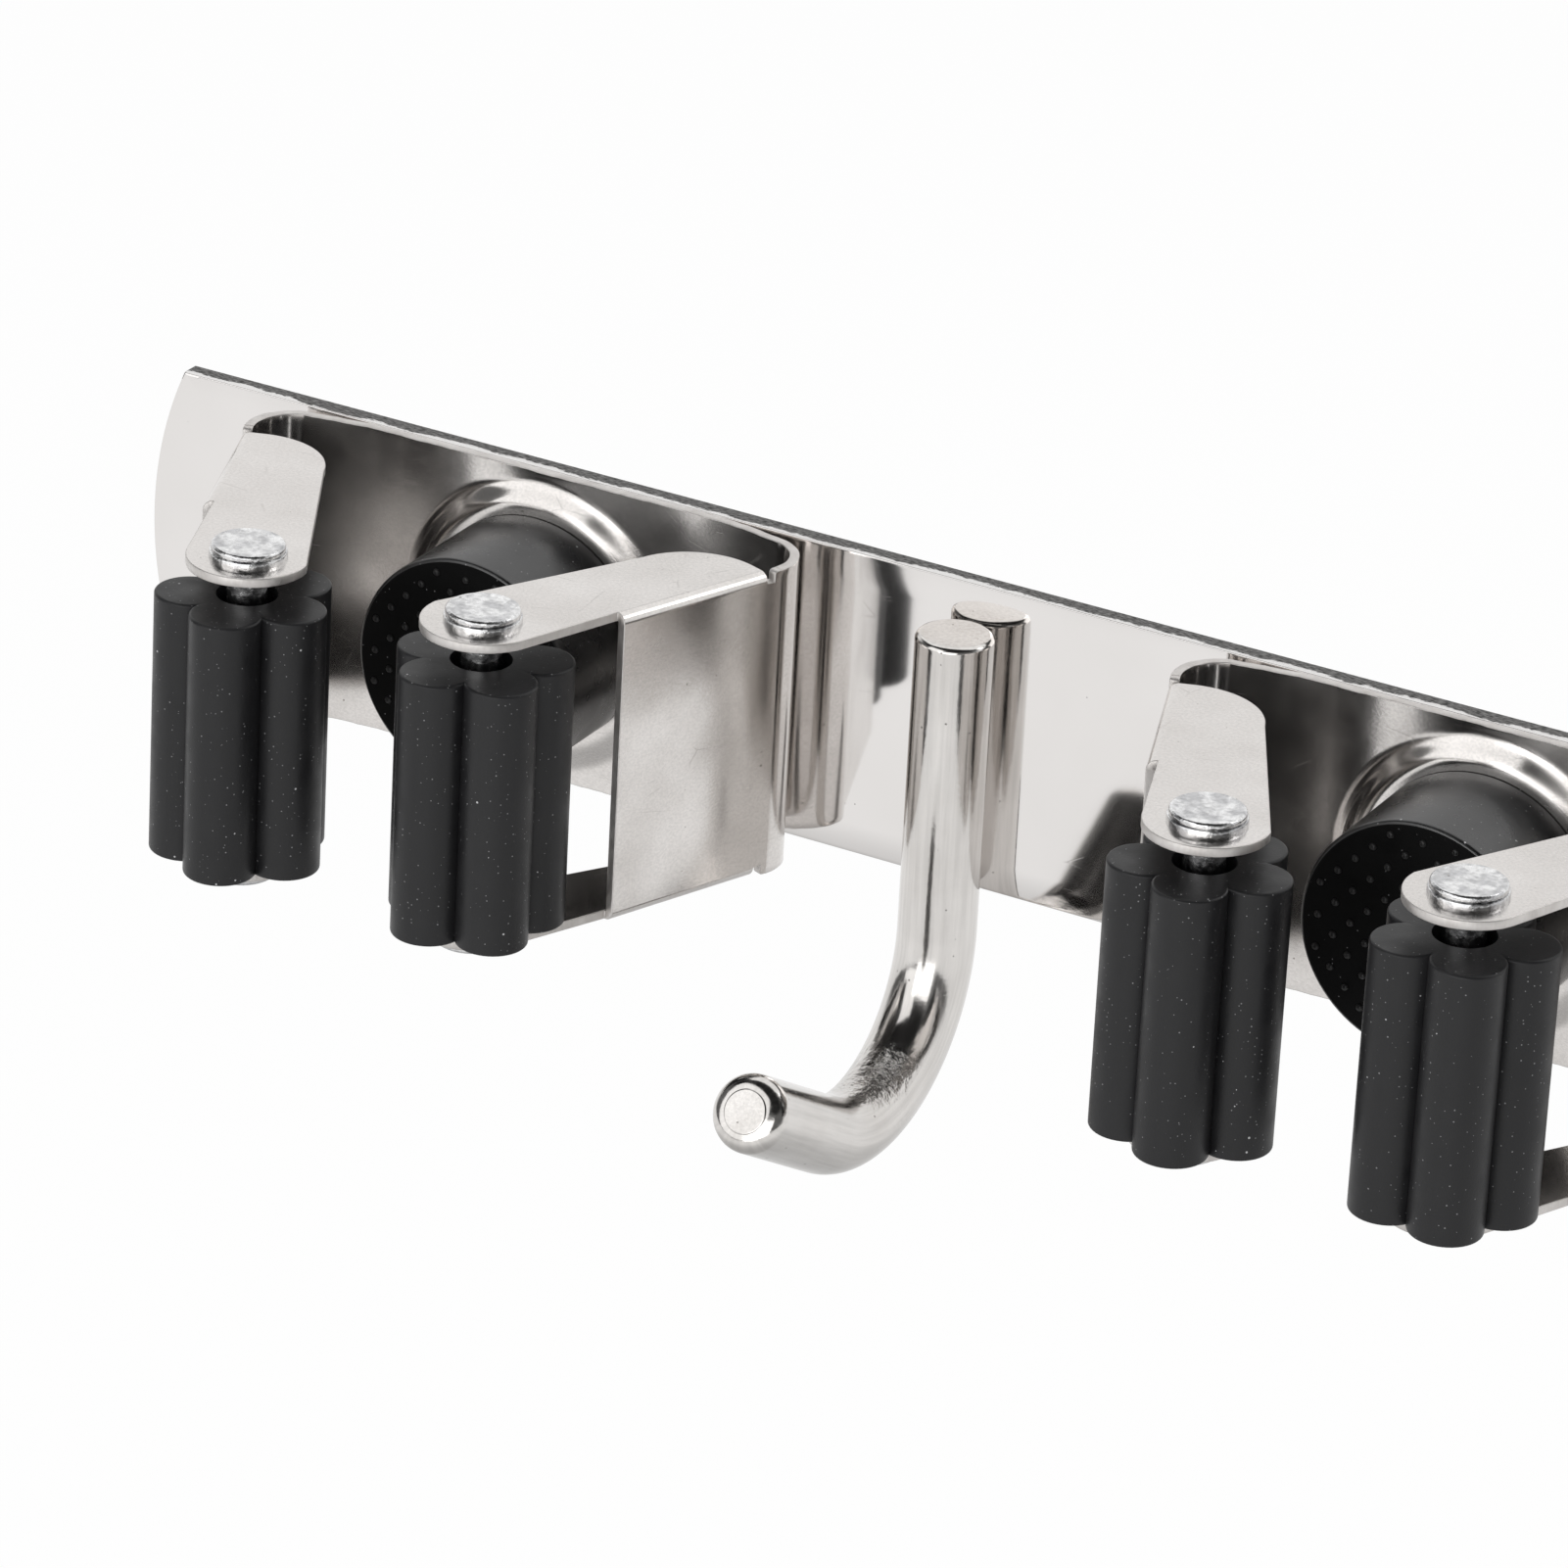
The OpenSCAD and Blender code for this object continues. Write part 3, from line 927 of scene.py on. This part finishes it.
def ear_outline(back_w, inner, tip_r):
    """Outline of an ear in the arm's frame, from its back width, reach inside the pin and tip radius."""
    slope = (pin_set + inner - back_w) / (pin_reach - ear_back - ear_back_r)
    a = 1 + slope * slope
    b = 2 * inner * slope
    c = inner ** 2 - tip_r ** 2
    run = (-b + math.sqrt(b * b - 4 * a * c)) / (2 * a)
    tip_start = math.atan2(-inner - slope * run, run)
    outline = [(ear_back, -bend_out)]
    back_r = min(ear_back_r, back_w - bend_out - ear_land)
    outline += arc((ear_back + back_r, back_r - back_w), back_r, math.pi, 1.5 * math.pi, steps=24)
    outline += arc((pin_reach, -pin_set), tip_r, tip_start, math.pi / 2, steps=48)
    outline += [(web_l, -bend_out)]
    return outline


def make_arm(name):
    """Web with its fold tabs, the two bends and the two ears."""
    put = arm_to_rack(name)
    flat_h = strip_h / 2 - bend_out
    sheet = BentSheet()

    def web(x, z):
        return put(x, 0, z), put(x, -strip_t, z)

    low = [(0, -flat_h), (tab_w, -flat_h), (ear_back, -flat_h), (web_l, -flat_h)]
    sheet.face([web(x, z) for x, z in low] + [web(x, -z) for x, z in reversed(low)])
    hole = [(pin_reach + pin_hole_r * math.cos(t), -pin_set + pin_hole_r * math.sin(t))
            for t in circle(steps=36)]
    upper = fill_outline([ear_outline(upper_back_w, upper_inner, upper_tip_r), hole])
    lower = fill_outline([ear_outline(lower_back_w, lower_inner, lower_tip_r), hole])
    for up, (flat, triangles) in ((1, upper), (-1, lower)):
        tab = [(0, flat_h), (tab_w, flat_h)]
        tab += arc((tab_w - tab_corner, strip_h / 2 - tab_corner), tab_corner, 0, math.pi / 2, steps=5)
        tab += [(0, strip_h / 2)]
        sheet.face([web(x, up * z) for x, z in tab])
        bend = []
        for t in quarter(steps=8):
            bend.append([tuple(put(x, -bend_out + r * math.cos(t), up * (flat_h + r * math.sin(t)))
                               for r in (bend_out, bend_r)) for x in (ear_back, web_l)])
        sheet.grid(bend)
        ear = [(put(p.x, p.y, up * strip_h / 2), put(p.x, p.y, up * (strip_h / 2 - strip_t))) for p in flat]
        for face in triangles:
            sheet.face([ear[i] for i in face])

    origin = put(0, 0, 0)
    ahead = (put(1, 0, 0) - origin).normalized()
    outward = (put(0, 1, 0) - origin).normalized()
    pin_at = put(pin_reach, -pin_set, 0)
    seam_slack = 0.01 * MM
    near_pin = 1.2 * pin_hole_r

    def laid_out(p):
        inward = -(p - origin).dot(outward)
        return p.z + math.copysign(inward, p.z - origin.z), (p - origin).dot(ahead)

    def square_at(a, b):
        at_seam = all(abs((p - origin).dot(ahead)) < seam_slack for p in (a, b))
        at_pin = all(math.hypot(p.x - pin_at.x, p.y - pin_at.y) < near_pin for p in (a, b))
        return at_seam or at_pin

    piece = sheet.build(name + "_spring_arm", square_at, laid_out)
    attach(piece, name + "_jaw", "strip_steel", name + "_arm")


# Geometry Nodes helpers

def new_tree(name, **inputs):
    """Empty Geometry Nodes tree with named inputs: the tree, its inputs' values, its end and identifiers."""
    tree = bpy.data.node_groups.new(name, "GeometryNodeTree")
    tree.interface.new_socket("Geometry", in_out="INPUT", socket_type=GEOMETRY)
    names = {}
    for key, kind in inputs.items():
        socket = tree.interface.new_socket(key.replace("_", " "), in_out="INPUT", socket_type=kind)
        names[key] = socket.identifier
    tree.interface.new_socket("Geometry", in_out="OUTPUT", socket_type=GEOMETRY)
    return tree, place(tree, "NodeGroupInput").outputs, place(tree, "NodeGroupOutput"), names


def end_tree(end, geometry_out, material):
    """Ends a tree: instances made real, with their material."""
    realize = grow("GeometryNodeRealizeInstances", Geometry=geometry_out)
    finish = grow("GeometryNodeSetMaterial", Geometry=realize.outputs["Geometry"], Material=material)
    wire(end, Geometry=finish.outputs["Geometry"])


def run_tree(piece, tree, names, **values):
    """Applies a tree to a piece as a modifier, with its inputs set first, and keeps the plain mesh."""
    modifier = piece.modifiers.new(tree.name, "NODES")
    modifier.node_group = tree
    for key, value in values.items():
        modifier[names[key]] = value
    return bake(piece)


def field(tree, label, kind="FLOAT"):
    """Named attribute of the points."""
    node = place(tree, "GeometryNodeInputNamedAttribute", data_type=kind)
    return wire(node, Name=label).outputs["Attribute"]


def store(geometry_out, label, value, kind="FLOAT"):
    """Keeps a value on the points under a name."""
    node = place(tree_of(geometry_out), "GeometryNodeStoreNamedAttribute", data_type=kind, domain="POINT")
    return wire(node, Geometry=geometry_out, Name=label, Value=value).outputs["Geometry"]


def point_of(x, y, z):
    """Vector from X, Y and Z."""
    return grow("ShaderNodeCombineXYZ", X=x, Y=y, Z=z).outputs[0]


# Rollers

def make_roller_tree():
    """Lobed roller: the base mesh says where a point lies on the section, the tree gives it its place."""
    tree, size, end, names = new_tree(
        "lobed_roller", Lobes=INT, Lobe_Radius=FLOAT, Lobe_Set=FLOAT, Bore_Radius=FLOAT, Rim_Radius=FLOAT,
        Low=FLOAT, High=FLOAT, Turn=FLOAT, Axis=VECTOR, Material=MATERIAL)
    share, inset, level, drop, along, lobe = (field(tree, label) for label in ROLLER_FIELDS)
    half = over(math.pi, size["Lobes"])
    radius = minus(size["Lobe Radius"], times(inset, size["Rim Radius"]))
    valley = over(times(size["Lobe Set"], maths("SINE", half)), radius)
    reach = plus(half, maths("ARCSINE", valley))
    around = minus(times(along, 2.0), 1.0)
    lobe_angle = times(around, reach)
    lobe_x = plus(size["Lobe Set"], times(radius, maths("COSINE", lobe_angle)))
    lobe_y = times(radius, maths("SINE", lobe_angle))
    bore_angle = times(around, half)
    bore_x = times(size["Bore Radius"], maths("COSINE", bore_angle))
    bore_y = times(size["Bore Radius"], maths("SINE", bore_angle))
    keep = minus(1.0, share)
    x = plus(times(lobe_x, share), times(bore_x, keep))
    y = plus(times(lobe_y, share), times(bore_y, keep))
    height = times(level, minus(size["High"], size["Low"]))
    inward = minus(1.0, times(level, 2.0))
    fall = times(times(drop, size["Rim Radius"]), inward)
    z = plus(size["Low"], plus(height, fall))
    turn = plus(times(times(lobe, half), 2.0), size["Turn"])
    turned = place(tree, "ShaderNodeVectorRotate", rotation_type="Z_AXIS")
    wire(turned, Vector=point_of(x, y, z), Angle=turn)
    moved = vector_maths("ADD", turned.outputs[0], size["Axis"])
    shaped = grow("GeometryNodeSetPosition", Geometry=size["Geometry"], Position=moved)
    end_tree(end, shaped.outputs["Geometry"], size["Material"])
    return tree, names


def roller_base_mesh(name, per_lobe):
    """Ring of quads whose points carry their place on the roller's section."""
    section = [(0, 0, 0, 0), (0.5, 1, 0, 0)]
    section += [(1, 1 - math.sin(t), 0, 1 - math.cos(t)) for t in quarter(steps=5)]
    section += [(1, s[1], 1, s[3]) for s in reversed(section[2:])]
    section += [(0.5, 1, 1, 0), (0, 0, 1, 0)]
    around = lobes * per_lobe
    count = len(section)
    faces = []
    for i in range(around):
        after = (i + 1) % around
        for j in range(count):
            upper = (j + 1) % count
            faces.append([i * count + j, after * count + j, after * count + upper, i * count + upper])
    mesh = new_mesh(name, [(j, i, 0) for i in range(around) for j in range(count)], faces)
    rows = [(*spot, (i % per_lobe) / per_lobe, i // per_lobe) for i in range(around) for spot in section]
    for label, numbers in zip(ROLLER_FIELDS, zip(*rows)):
        layer = mesh.attributes.new(label, "FLOAT", "POINT")
        layer.data.foreach_set("value", [float(n) for n in numbers])
    return mesh


def make_rollers():
    """Rollers on their pins, each with its own turn."""
    tree, names = make_roller_tree()
    for name in ARMS:
        low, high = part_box(name + "_roller")
        pin_low, pin_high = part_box(name + "_pin")
        piece = new_piece(name + "_rubber_roller", roller_base_mesh(name, per_lobe=26), [roller_rubber])
        run_tree(piece, tree, names, Lobes=lobes, Lobe_Radius=lobe_r, Lobe_Set=lobe_set,
                 Bore_Radius=roller_bore_r, Rim_Radius=roller_rim, Low=low.z - roller_sink,
                 High=high.z - roller_short, Turn=ROLLER_TURN[name],
                 Axis=((pin_low.x + pin_high.x) / 2, (pin_low.y + pin_high.y) / 2, 0),
                 Material=roller_rubber)
        for label in ROLLER_FIELDS:
            piece.data.attributes.remove(piece.data.attributes[label])
        close_up(piece.data)
        smooth_by_angle(piece.data, degrees=40)
        settle_flats(piece)
        attach(piece, name + "_roller", "roller_rubber", name + "_roller")


# Revolved pieces

def revolve(name, section, turns):
    """Mesh turned about Z from (radius, height) points; points on the axis become poles."""
    on_axis = 1e-9
    points = []
    rows = []
    for radius, height in section:
        if radius < on_axis:
            rows.append([len(points)] * turns)
            points.append((0, 0, height))
            continue
        rows.append(list(range(len(points), len(points) + turns)))
        points += [(radius * math.cos(t), radius * math.sin(t), height) for t in circle(turns)]
    faces = []
    for low, high in zip(rows, rows[1:]):
        for i in range(turns):
            after = (i + 1) % turns
            corners = [low[i], low[after], high[after], high[i]]
            faces.append(list(dict.fromkeys(corners)))
    return new_mesh(name, points, faces)


def make_hammer_tree():
    """Dents the flat tops of the rivet heads, less and less towards their rims."""
    face_share = 0.3
    rim_fade = 6.0
    tree, size, end, names = new_tree(
        "hammered_heads", Dent_Depth=FLOAT, Dent_Size=FLOAT, Seed=FLOAT, Pin_Top=FLOAT, Head_Height=FLOAT,
        Face_Radius=FLOAT, Material=MATERIAL)
    here = place(tree, "GeometryNodeInputPosition").outputs[0]
    x, y, z = parts_of(here)
    dents = noise_of(here, over(1.0, size["Dent Size"]), detail=1.5, noise_dimensions="4D")
    wire(dents, W=size["Seed"])
    foot = minus(size["Pin Top"], times(size["Head Height"], face_share))
    on_head = maths("GREATER_THAN", maths("ABSOLUTE", z), foot)
    reach = maths("SQRT", plus(times(x, x), times(y, y)))
    from_rim = minus(1.0, over(reach, size["Face Radius"]))
    on_face = times(times(from_rim, rim_fade, clamp=True), on_head)
    depth = times(times(dents.outputs["Fac"], on_face), size["Dent Depth"])
    inward = times(times(depth, maths("SIGN", z)), -1.0)
    dented = grow("GeometryNodeSetPosition", Geometry=size["Geometry"], Offset=point_of(0.0, 0.0, inward))
    end_tree(end, dented.outputs["Geometry"], size["Material"])
    return tree, names


def head_section(foot, top):
    """Half section of a rivet head, from the shaft to the axis: a flange, a groove and a domed crown."""
    flange = foot + flange_t
    section = [
        (pin_r, foot),
        (head_r, foot),
        (head_r, foot + flange_straight),
        (head_r - flange_round, flange),
        (head_r - groove_d, flange + flange_round),
        (crown_r, flange + groove_w),
    ]
    section += [(crown_r - head_edge * (1 - math.cos(t)), top - head_edge * (1 - math.sin(t)))
                for t in quarter(steps=6)]
    flats = 14
    section += [((crown_r - head_edge) * (1 - i / flats), top) for i in range(1, flats + 1)]
    return section


def make_pins():
    """Rivet pins, each with its own dents."""
    tree, names = make_hammer_tree()
    for number, name in enumerate(ARMS):
        low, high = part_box(name + "_pin")
        middle = (low + high) / 2
        top = (high.z - low.z) / 2
        upper = head_section(top - head_t, top)
        section = [(r, -h) for r, h in reversed(upper)] + upper
        piece = new_piece(name + "_rivet_pin", revolve(name, section, turns=48), [rivet_steel])
        run_tree(piece, tree, names, Dent_Depth=dent_depth, Dent_Size=dent_size,
                 Seed=dent_seed + dent_seed_step * number, Pin_Top=top, Head_Height=head_t,
                 Face_Radius=crown_r - head_edge, Material=rivet_steel)
        piece.data.transform(Matrix.Translation(middle))
        close_up(piece.data)
        smooth_by_angle(piece.data, degrees=45)
        attach(piece, name + "_jaw", "rivet_steel", name + "_pin")


# Posts

def make_post_tree():
    """Adds staggered pips to the post's front face."""
    tree, size, end, names = new_tree(
        "pipped_face", Pitch=FLOAT, Rows=INT, Field_Radius=FLOAT, Pip_Radius=FLOAT, Pip_Height=FLOAT,
        Face=VECTOR, Material=MATERIAL)
    span = times(size["Pitch"], minus(size["Rows"], 1.0))
    net = grow("GeometryNodeMeshGrid", Size_X=span, Size_Y=span,
               Vertices_X=size["Rows"], Vertices_Y=size["Rows"])
    number = place(tree, "GeometryNodeInputIndex").outputs[0]
    row = maths("FLOOR", over(plus(number, 0.5), size["Rows"]))
    line = minus(number, times(row, size["Rows"]))
    even = maths("LESS_THAN", maths("MODULO", plus(row, line), 2.0), 0.5)
    here = place(tree, "GeometryNodeInputPosition").outputs[0]
    inside = maths("LESS_THAN", vector_maths("LENGTH", here), size["Field Radius"])
    pip = wire(place(tree, "GeometryNodeMeshUVSphere"), Segments=10, Rings=6, Radius=1.0)
    scatter = grow("GeometryNodeInstanceOnPoints", Points=net.outputs["Mesh"],
                   Selection=times(even, inside), Instance=pip.outputs["Mesh"],
                   Scale=point_of(size["Pip Radius"], size["Pip Radius"], size["Pip Height"]))
    realize = grow("GeometryNodeRealizeInstances", Geometry=scatter.outputs["Instances"])
    stand = grow("GeometryNodeTransform", Geometry=realize.outputs["Geometry"],
                 Translation=size["Face"], Rotation=(math.pi / 2, 0, 0))
    soft = grow("GeometryNodeSetShadeSmooth", Geometry=stand.outputs["Geometry"])
    finish = grow("GeometryNodeSetMaterial", Geometry=soft.outputs["Geometry"], Material=size["Material"])
    both = place(tree, "GeometryNodeJoinGeometry")
    for part in (size["Geometry"], finish.outputs["Geometry"]):
        feed(both.inputs[0], part)
    wire(end, Geometry=both.outputs[0])
    return tree, names


def make_posts():
    """Rubber posts with a hollow for the insert and pips on the face."""
    tree, names = make_post_tree()
    front = post_front - pip_h
    face_slack = 0.05 * MM
    section = [(0, boss_front + insert_l), (insert_r, boss_front + insert_l), (insert_r, boss_front)]
    section += [(post_r - post_chamfer, boss_front), (post_r, boss_front + post_chamfer)]
    section += [(post_r - post_edge * (1 - math.cos(t)), front - post_edge * (1 - math.sin(t)))
                for t in quarter(steps=6)]
    section += [(0, front)]
    for rack in RACKS:
        middle = rack_middle(rack)
        mesh = revolve(rack, section, turns=96)
        mesh.transform(Matrix.Translation(middle) @ Matrix.Rotation(math.pi / 2, 4, "X"))
        close_up(mesh)
        smooth_by_angle(mesh, degrees=40)
        # The front faces take the darker copy of the rubber: painted shade
        in_front = [p.index for p in mesh.polygons
                    if all(mesh.vertices[v].co.y < face_slack - front for v in p.vertices)]
        give_slot(mesh, slot=1, numbers=in_front)
        piece = new_piece(rack + "_rubber_post", mesh, [post_rubber, post_face_painted_shade])
        # The pips take the lighter rubber: painted highlight
        run_tree(piece, tree, names, Pitch=pip_pitch, Rows=pip_rows, Field_Radius=post_r - pip_margin,
                 Pip_Radius=pip_r, Pip_Height=pip_h, Face=(middle.x, -front, middle.z), Material=pip_rubber_painted_highlight)
        attach(piece, "rack", "post_rubber", rack + "_post")


# Hook

def make_hook_tree():
    """Sweeps a round rod along a path, maps its surface and flattens it where it is welded to the plate."""
    tree, size, end, names = new_tree("bent_rod", Sides=INT, Weld_Plane=FLOAT, Material=MATERIAL)
    path = grow("GeometryNodeMeshToCurve", Mesh=size["Geometry"])
    ring = place(tree, "GeometryNodeCurvePrimitiveCircle", mode="RADIUS")
    wire(ring, Resolution=size["Sides"], Radius=1.0)
    here = place(tree, "GeometryNodeInputPosition").outputs[0]
    length = place(tree, "GeometryNodeSplineParameter").outputs["Length"]
    sweep = grow("GeometryNodeCurveToMesh", Curve=store(path.outputs["Curve"], "down_rod", length),
                 Profile_Curve=store(ring.outputs["Curve"], "round_rod", here, "FLOAT_VECTOR"),
                 Scale=field(tree, "rod_radius"), Fill_Caps=True)
    around = parts_of(field(tree, "round_rod", "FLOAT_VECTOR"))
    side = times(around[0], rod_r / MM)
    face = times(around[1], rod_r / MM)
    on_rod = point_of(side, face, over(field(tree, "down_rod"), MM))
    mapped = store(sweep.outputs["Mesh"], ROD_MAP, on_rod, "FLOAT_VECTOR")
    x, y, z = parts_of(here)
    flat = point_of(x, maths("MINIMUM", y, size["Weld Plane"]), z)
    pressed = grow("GeometryNodeSetPosition", Geometry=mapped, Position=flat)
    end_tree(end, pressed.outputs["Geometry"], size["Material"])
    return tree, names


def hook_path():
    """Points down the rod, round the bend and up the free arm, with the rod's radius at each."""
    top = Vector((hook_x, rod_y, hook_high.z))
    path = [(top - Vector((0, 0, hook_top_r * (1 - math.cos(t)))), rod_r - hook_top_r * (1 - math.sin(t)))
            for t in quarter(steps=8)]
    run = top.z - hook_top_r - bend_c.z
    run_steps = 12
    path += [(top - Vector((0, 0, hook_top_r + run * i / run_steps)), rod_r) for i in range(1, run_steps)]
    turns = 48
    for i in range(turns + 1):
        t = hook_turn * i / turns
        path.append((bend_c + hook_bend_r * Vector((0, math.cos(t), -math.sin(t))), rod_r))
    away = Vector((0, -math.sin(hook_turn), -math.cos(hook_turn)))
    start = path[-1][0]
    straight = hook_arm - hook_end_r - hook_end_step
    arm_steps = 6
    path += [(start + away * straight * i / arm_steps, rod_r) for i in range(1, arm_steps)]
    for t in quarter(steps=8):
        turned = hook_end_turn * t
        path.append((start + away * (straight + hook_end_r * math.sin(turned)),
                     rod_r - hook_end_r * (1 - math.cos(turned))))
    for share, inset in HOOK_END_RING:
        path.append((start + away * (straight + hook_end_r + share * hook_end_step),
                     rod_r - hook_end_r - inset))
    return path


def make_hook():
    """Hook swept along its path."""
    path = hook_path()
    mesh = new_mesh("hook_path", [p for p, r in path], [], [(i, i + 1) for i in range(len(path) - 1)])
    radius = mesh.attributes.new("rod_radius", "FLOAT", "POINT")
    radius.data.foreach_set("value", [r for p, r in path])
    piece = new_piece("bent_hook", mesh, [rod_steel])
    tree, names = make_hook_tree()
    run_tree(piece, tree, names, Sides=64, Weld_Plane=-plate_t, Material=rod_steel)
    close_up(piece.data)
    smooth_by_angle(piece.data, degrees=40)
    settle_flats(piece)
    attach(piece, "rack", "hook_steel", "hook")


make_plate()
for rack_name in RACKS:
    make_clip_base(rack_name)
for arm_name in ARMS:
    make_arm(arm_name)
make_rollers()
make_pins()
make_posts()
make_hook()

# Inserts and screws keep their solids
for rack_name in RACKS:
    for node_end, metal in (("_post_insert", insert_brass), ("_post_screw", screw_zinc)):
        node_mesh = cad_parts[rack_name + node_end].data
        node_mesh.materials.clear()
        node_mesh.materials.append(metal)


# Stage, light and camera

def empty_tree(owner):
    """Node tree of a material or world, without its first nodes."""
    owner.use_nodes = True
    owner.node_tree.nodes.clear()
    return owner.node_tree


def seen_white(tree):
    """Share of rays that meet the stage's own glow: from the camera, off metal and through glass."""
    path = place(tree, "ShaderNodeLightPath").outputs
    first = maths("MAXIMUM", path["Is Camera Ray"], path["Is Glossy Ray"])
    return maths("MAXIMUM", first, path["Is Transmission Ray"])


def white_to_camera(value):
    """Grey of a value, but plain white for the camera."""
    path = place(tree_of(value), "ShaderNodeLightPath").outputs
    return grey(maths("MAXIMUM", value, path["Is Camera Ray"]))


def mix_shaders(share, first, second, out):
    """Shader between two others, on the output node of the given kind."""
    mix = place(tree_of(share), "ShaderNodeMixShader")
    feed(mix.inputs[0], share)
    feed(mix.inputs[1], first.outputs[0])
    feed(mix.inputs[2], second.outputs[0])
    grow(out, Surface=mix.outputs[0])


def make_floor():
    """Pale floor well below the rack; it reads white and takes the shadow. The glow that metal sees carries
    painted shade: darker close under the rack and a little darker to the right.
    """
    half = 6.0
    level = -0.36
    cells = 8
    row = cells + 1
    span = [-half + 2 * half * i / cells for i in range(row)]
    faces = [[r * row + c, r * row + c + 1, (r + 1) * row + c + 1, (r + 1) * row + c]
             for r in range(cells) for c in range(cells)]
    mesh = new_mesh("floor", [(x, y, level) for y in span for x in span], faces)
    material = bpy.data.materials.new("pale_floor")
    tree = empty_tree(material)
    matt = wire(place(tree, "ShaderNodeBsdfDiffuse"), Color=(0.86, 0.86, 0.86, 1))
    where = place(tree, "ShaderNodeTexCoord").outputs["Object"]
    # Painted shade in the floor's glow as metal sees it: darker close under the rack, a little darker to the
    # right
    away = vector_maths("DISTANCE", where, (0, -0.04, level))
    near = spread(away, 0.05, 0.8, 0.5, 1.0, soft=True)
    right = spread(parts_of(where)["X"], -0.2, 0.9, 1.0, 0.98, soft=True)
    glow = grow("ShaderNodeEmission", Strength=1.0, Color=white_to_camera(times(near, right)))
    mix_shaders(times(seen_white(tree), 0.96), matt, glow, "ShaderNodeOutputMaterial")
    new_piece("floor", mesh, [material])


def make_world():
    """White behind the rack; metal sees a dim studio in front of it and overhead, with its soft boxes."""
    world = bpy.data.worlds.new("studio")
    bpy.context.scene.world = world
    tree = empty_tree(world)
    room = wire(place(tree, "ShaderNodeBackground"), Color=(1, 1, 1, 1), Strength=0.55)
    way = parts_of(place(tree, "ShaderNodeTexCoord").outputs["Generated"])
    behind = spread(way["Y"], -0.15, 0.35, 0.14, 1.0, soft=True)
    low = spread(way["Z"], 0.46, 0.64, 1.0, 0.1, soft=True)
    white = grow("ShaderNodeBackground", Strength=1.0, Color=white_to_camera(times(behind, low)))
    mix_shaders(seen_white(tree), room, white, "ShaderNodeOutputWorld")


def make_lamp(name, spot, width, height, power):
    """Soft box that faces the rack."""
    data = bpy.data.lights.new(name, "AREA")
    data.shape = "RECTANGLE"
    data.size = width
    data.size_y = height
    data.energy = power
    lamp = add_object(name, data)
    lamp.location = spot
    lamp.rotation_mode = "QUATERNION"
    lamp.rotation_quaternion = (-Vector(spot)).to_track_quat("-Z", "Y")


def make_camera():
    """Camera at the photograph's angle, with its roll and framing."""
    azimuth = math.radians(28.63)
    elevation = math.radians(24.67)
    roll = math.radians(2.82)
    eye = Vector((445.2, -894.6, 456.7)) * MM
    back = Vector((math.sin(azimuth) * math.cos(elevation), -math.cos(azimuth) * math.cos(elevation),
                   math.sin(elevation)))
    level = Vector((math.cos(azimuth), math.sin(azimuth), 0))
    upright = back.cross(level)
    right = math.cos(roll) * level + math.sin(roll) * upright
    up = math.cos(roll) * upright - math.sin(roll) * level
    data = bpy.data.cameras.new("camera")
    data.sensor_width = 36
    data.lens = 206.85
    data.shift_x = 0.0516
    data.shift_y = -0.0307
    data.clip_start = 0.01
    data.clip_end = 50
    camera = add_object("camera", data)
    turn = Matrix((right, up, back)).transposed().to_4x4()
    camera.matrix_world = Matrix.Translation(eye) @ turn
    bpy.context.scene.camera = camera


make_floor()
make_world()
make_lamp("top_light", (-0.1, 0.55, 1.0), width=1.6, height=1.0, power=5)
make_lamp("left_light", (-0.62, -1.05, 0.54), width=1.0, height=1.25, power=4.75)
make_lamp("front_light", (0.22, -1.45, 0.26), width=1.4, height=0.9, power=7)
make_lamp("rim_light", (0.66, 0.45, 0.76), width=0.3, height=0.3, power=0.9)
make_camera()
bpy.context.scene.view_settings.view_transform = "Standard"
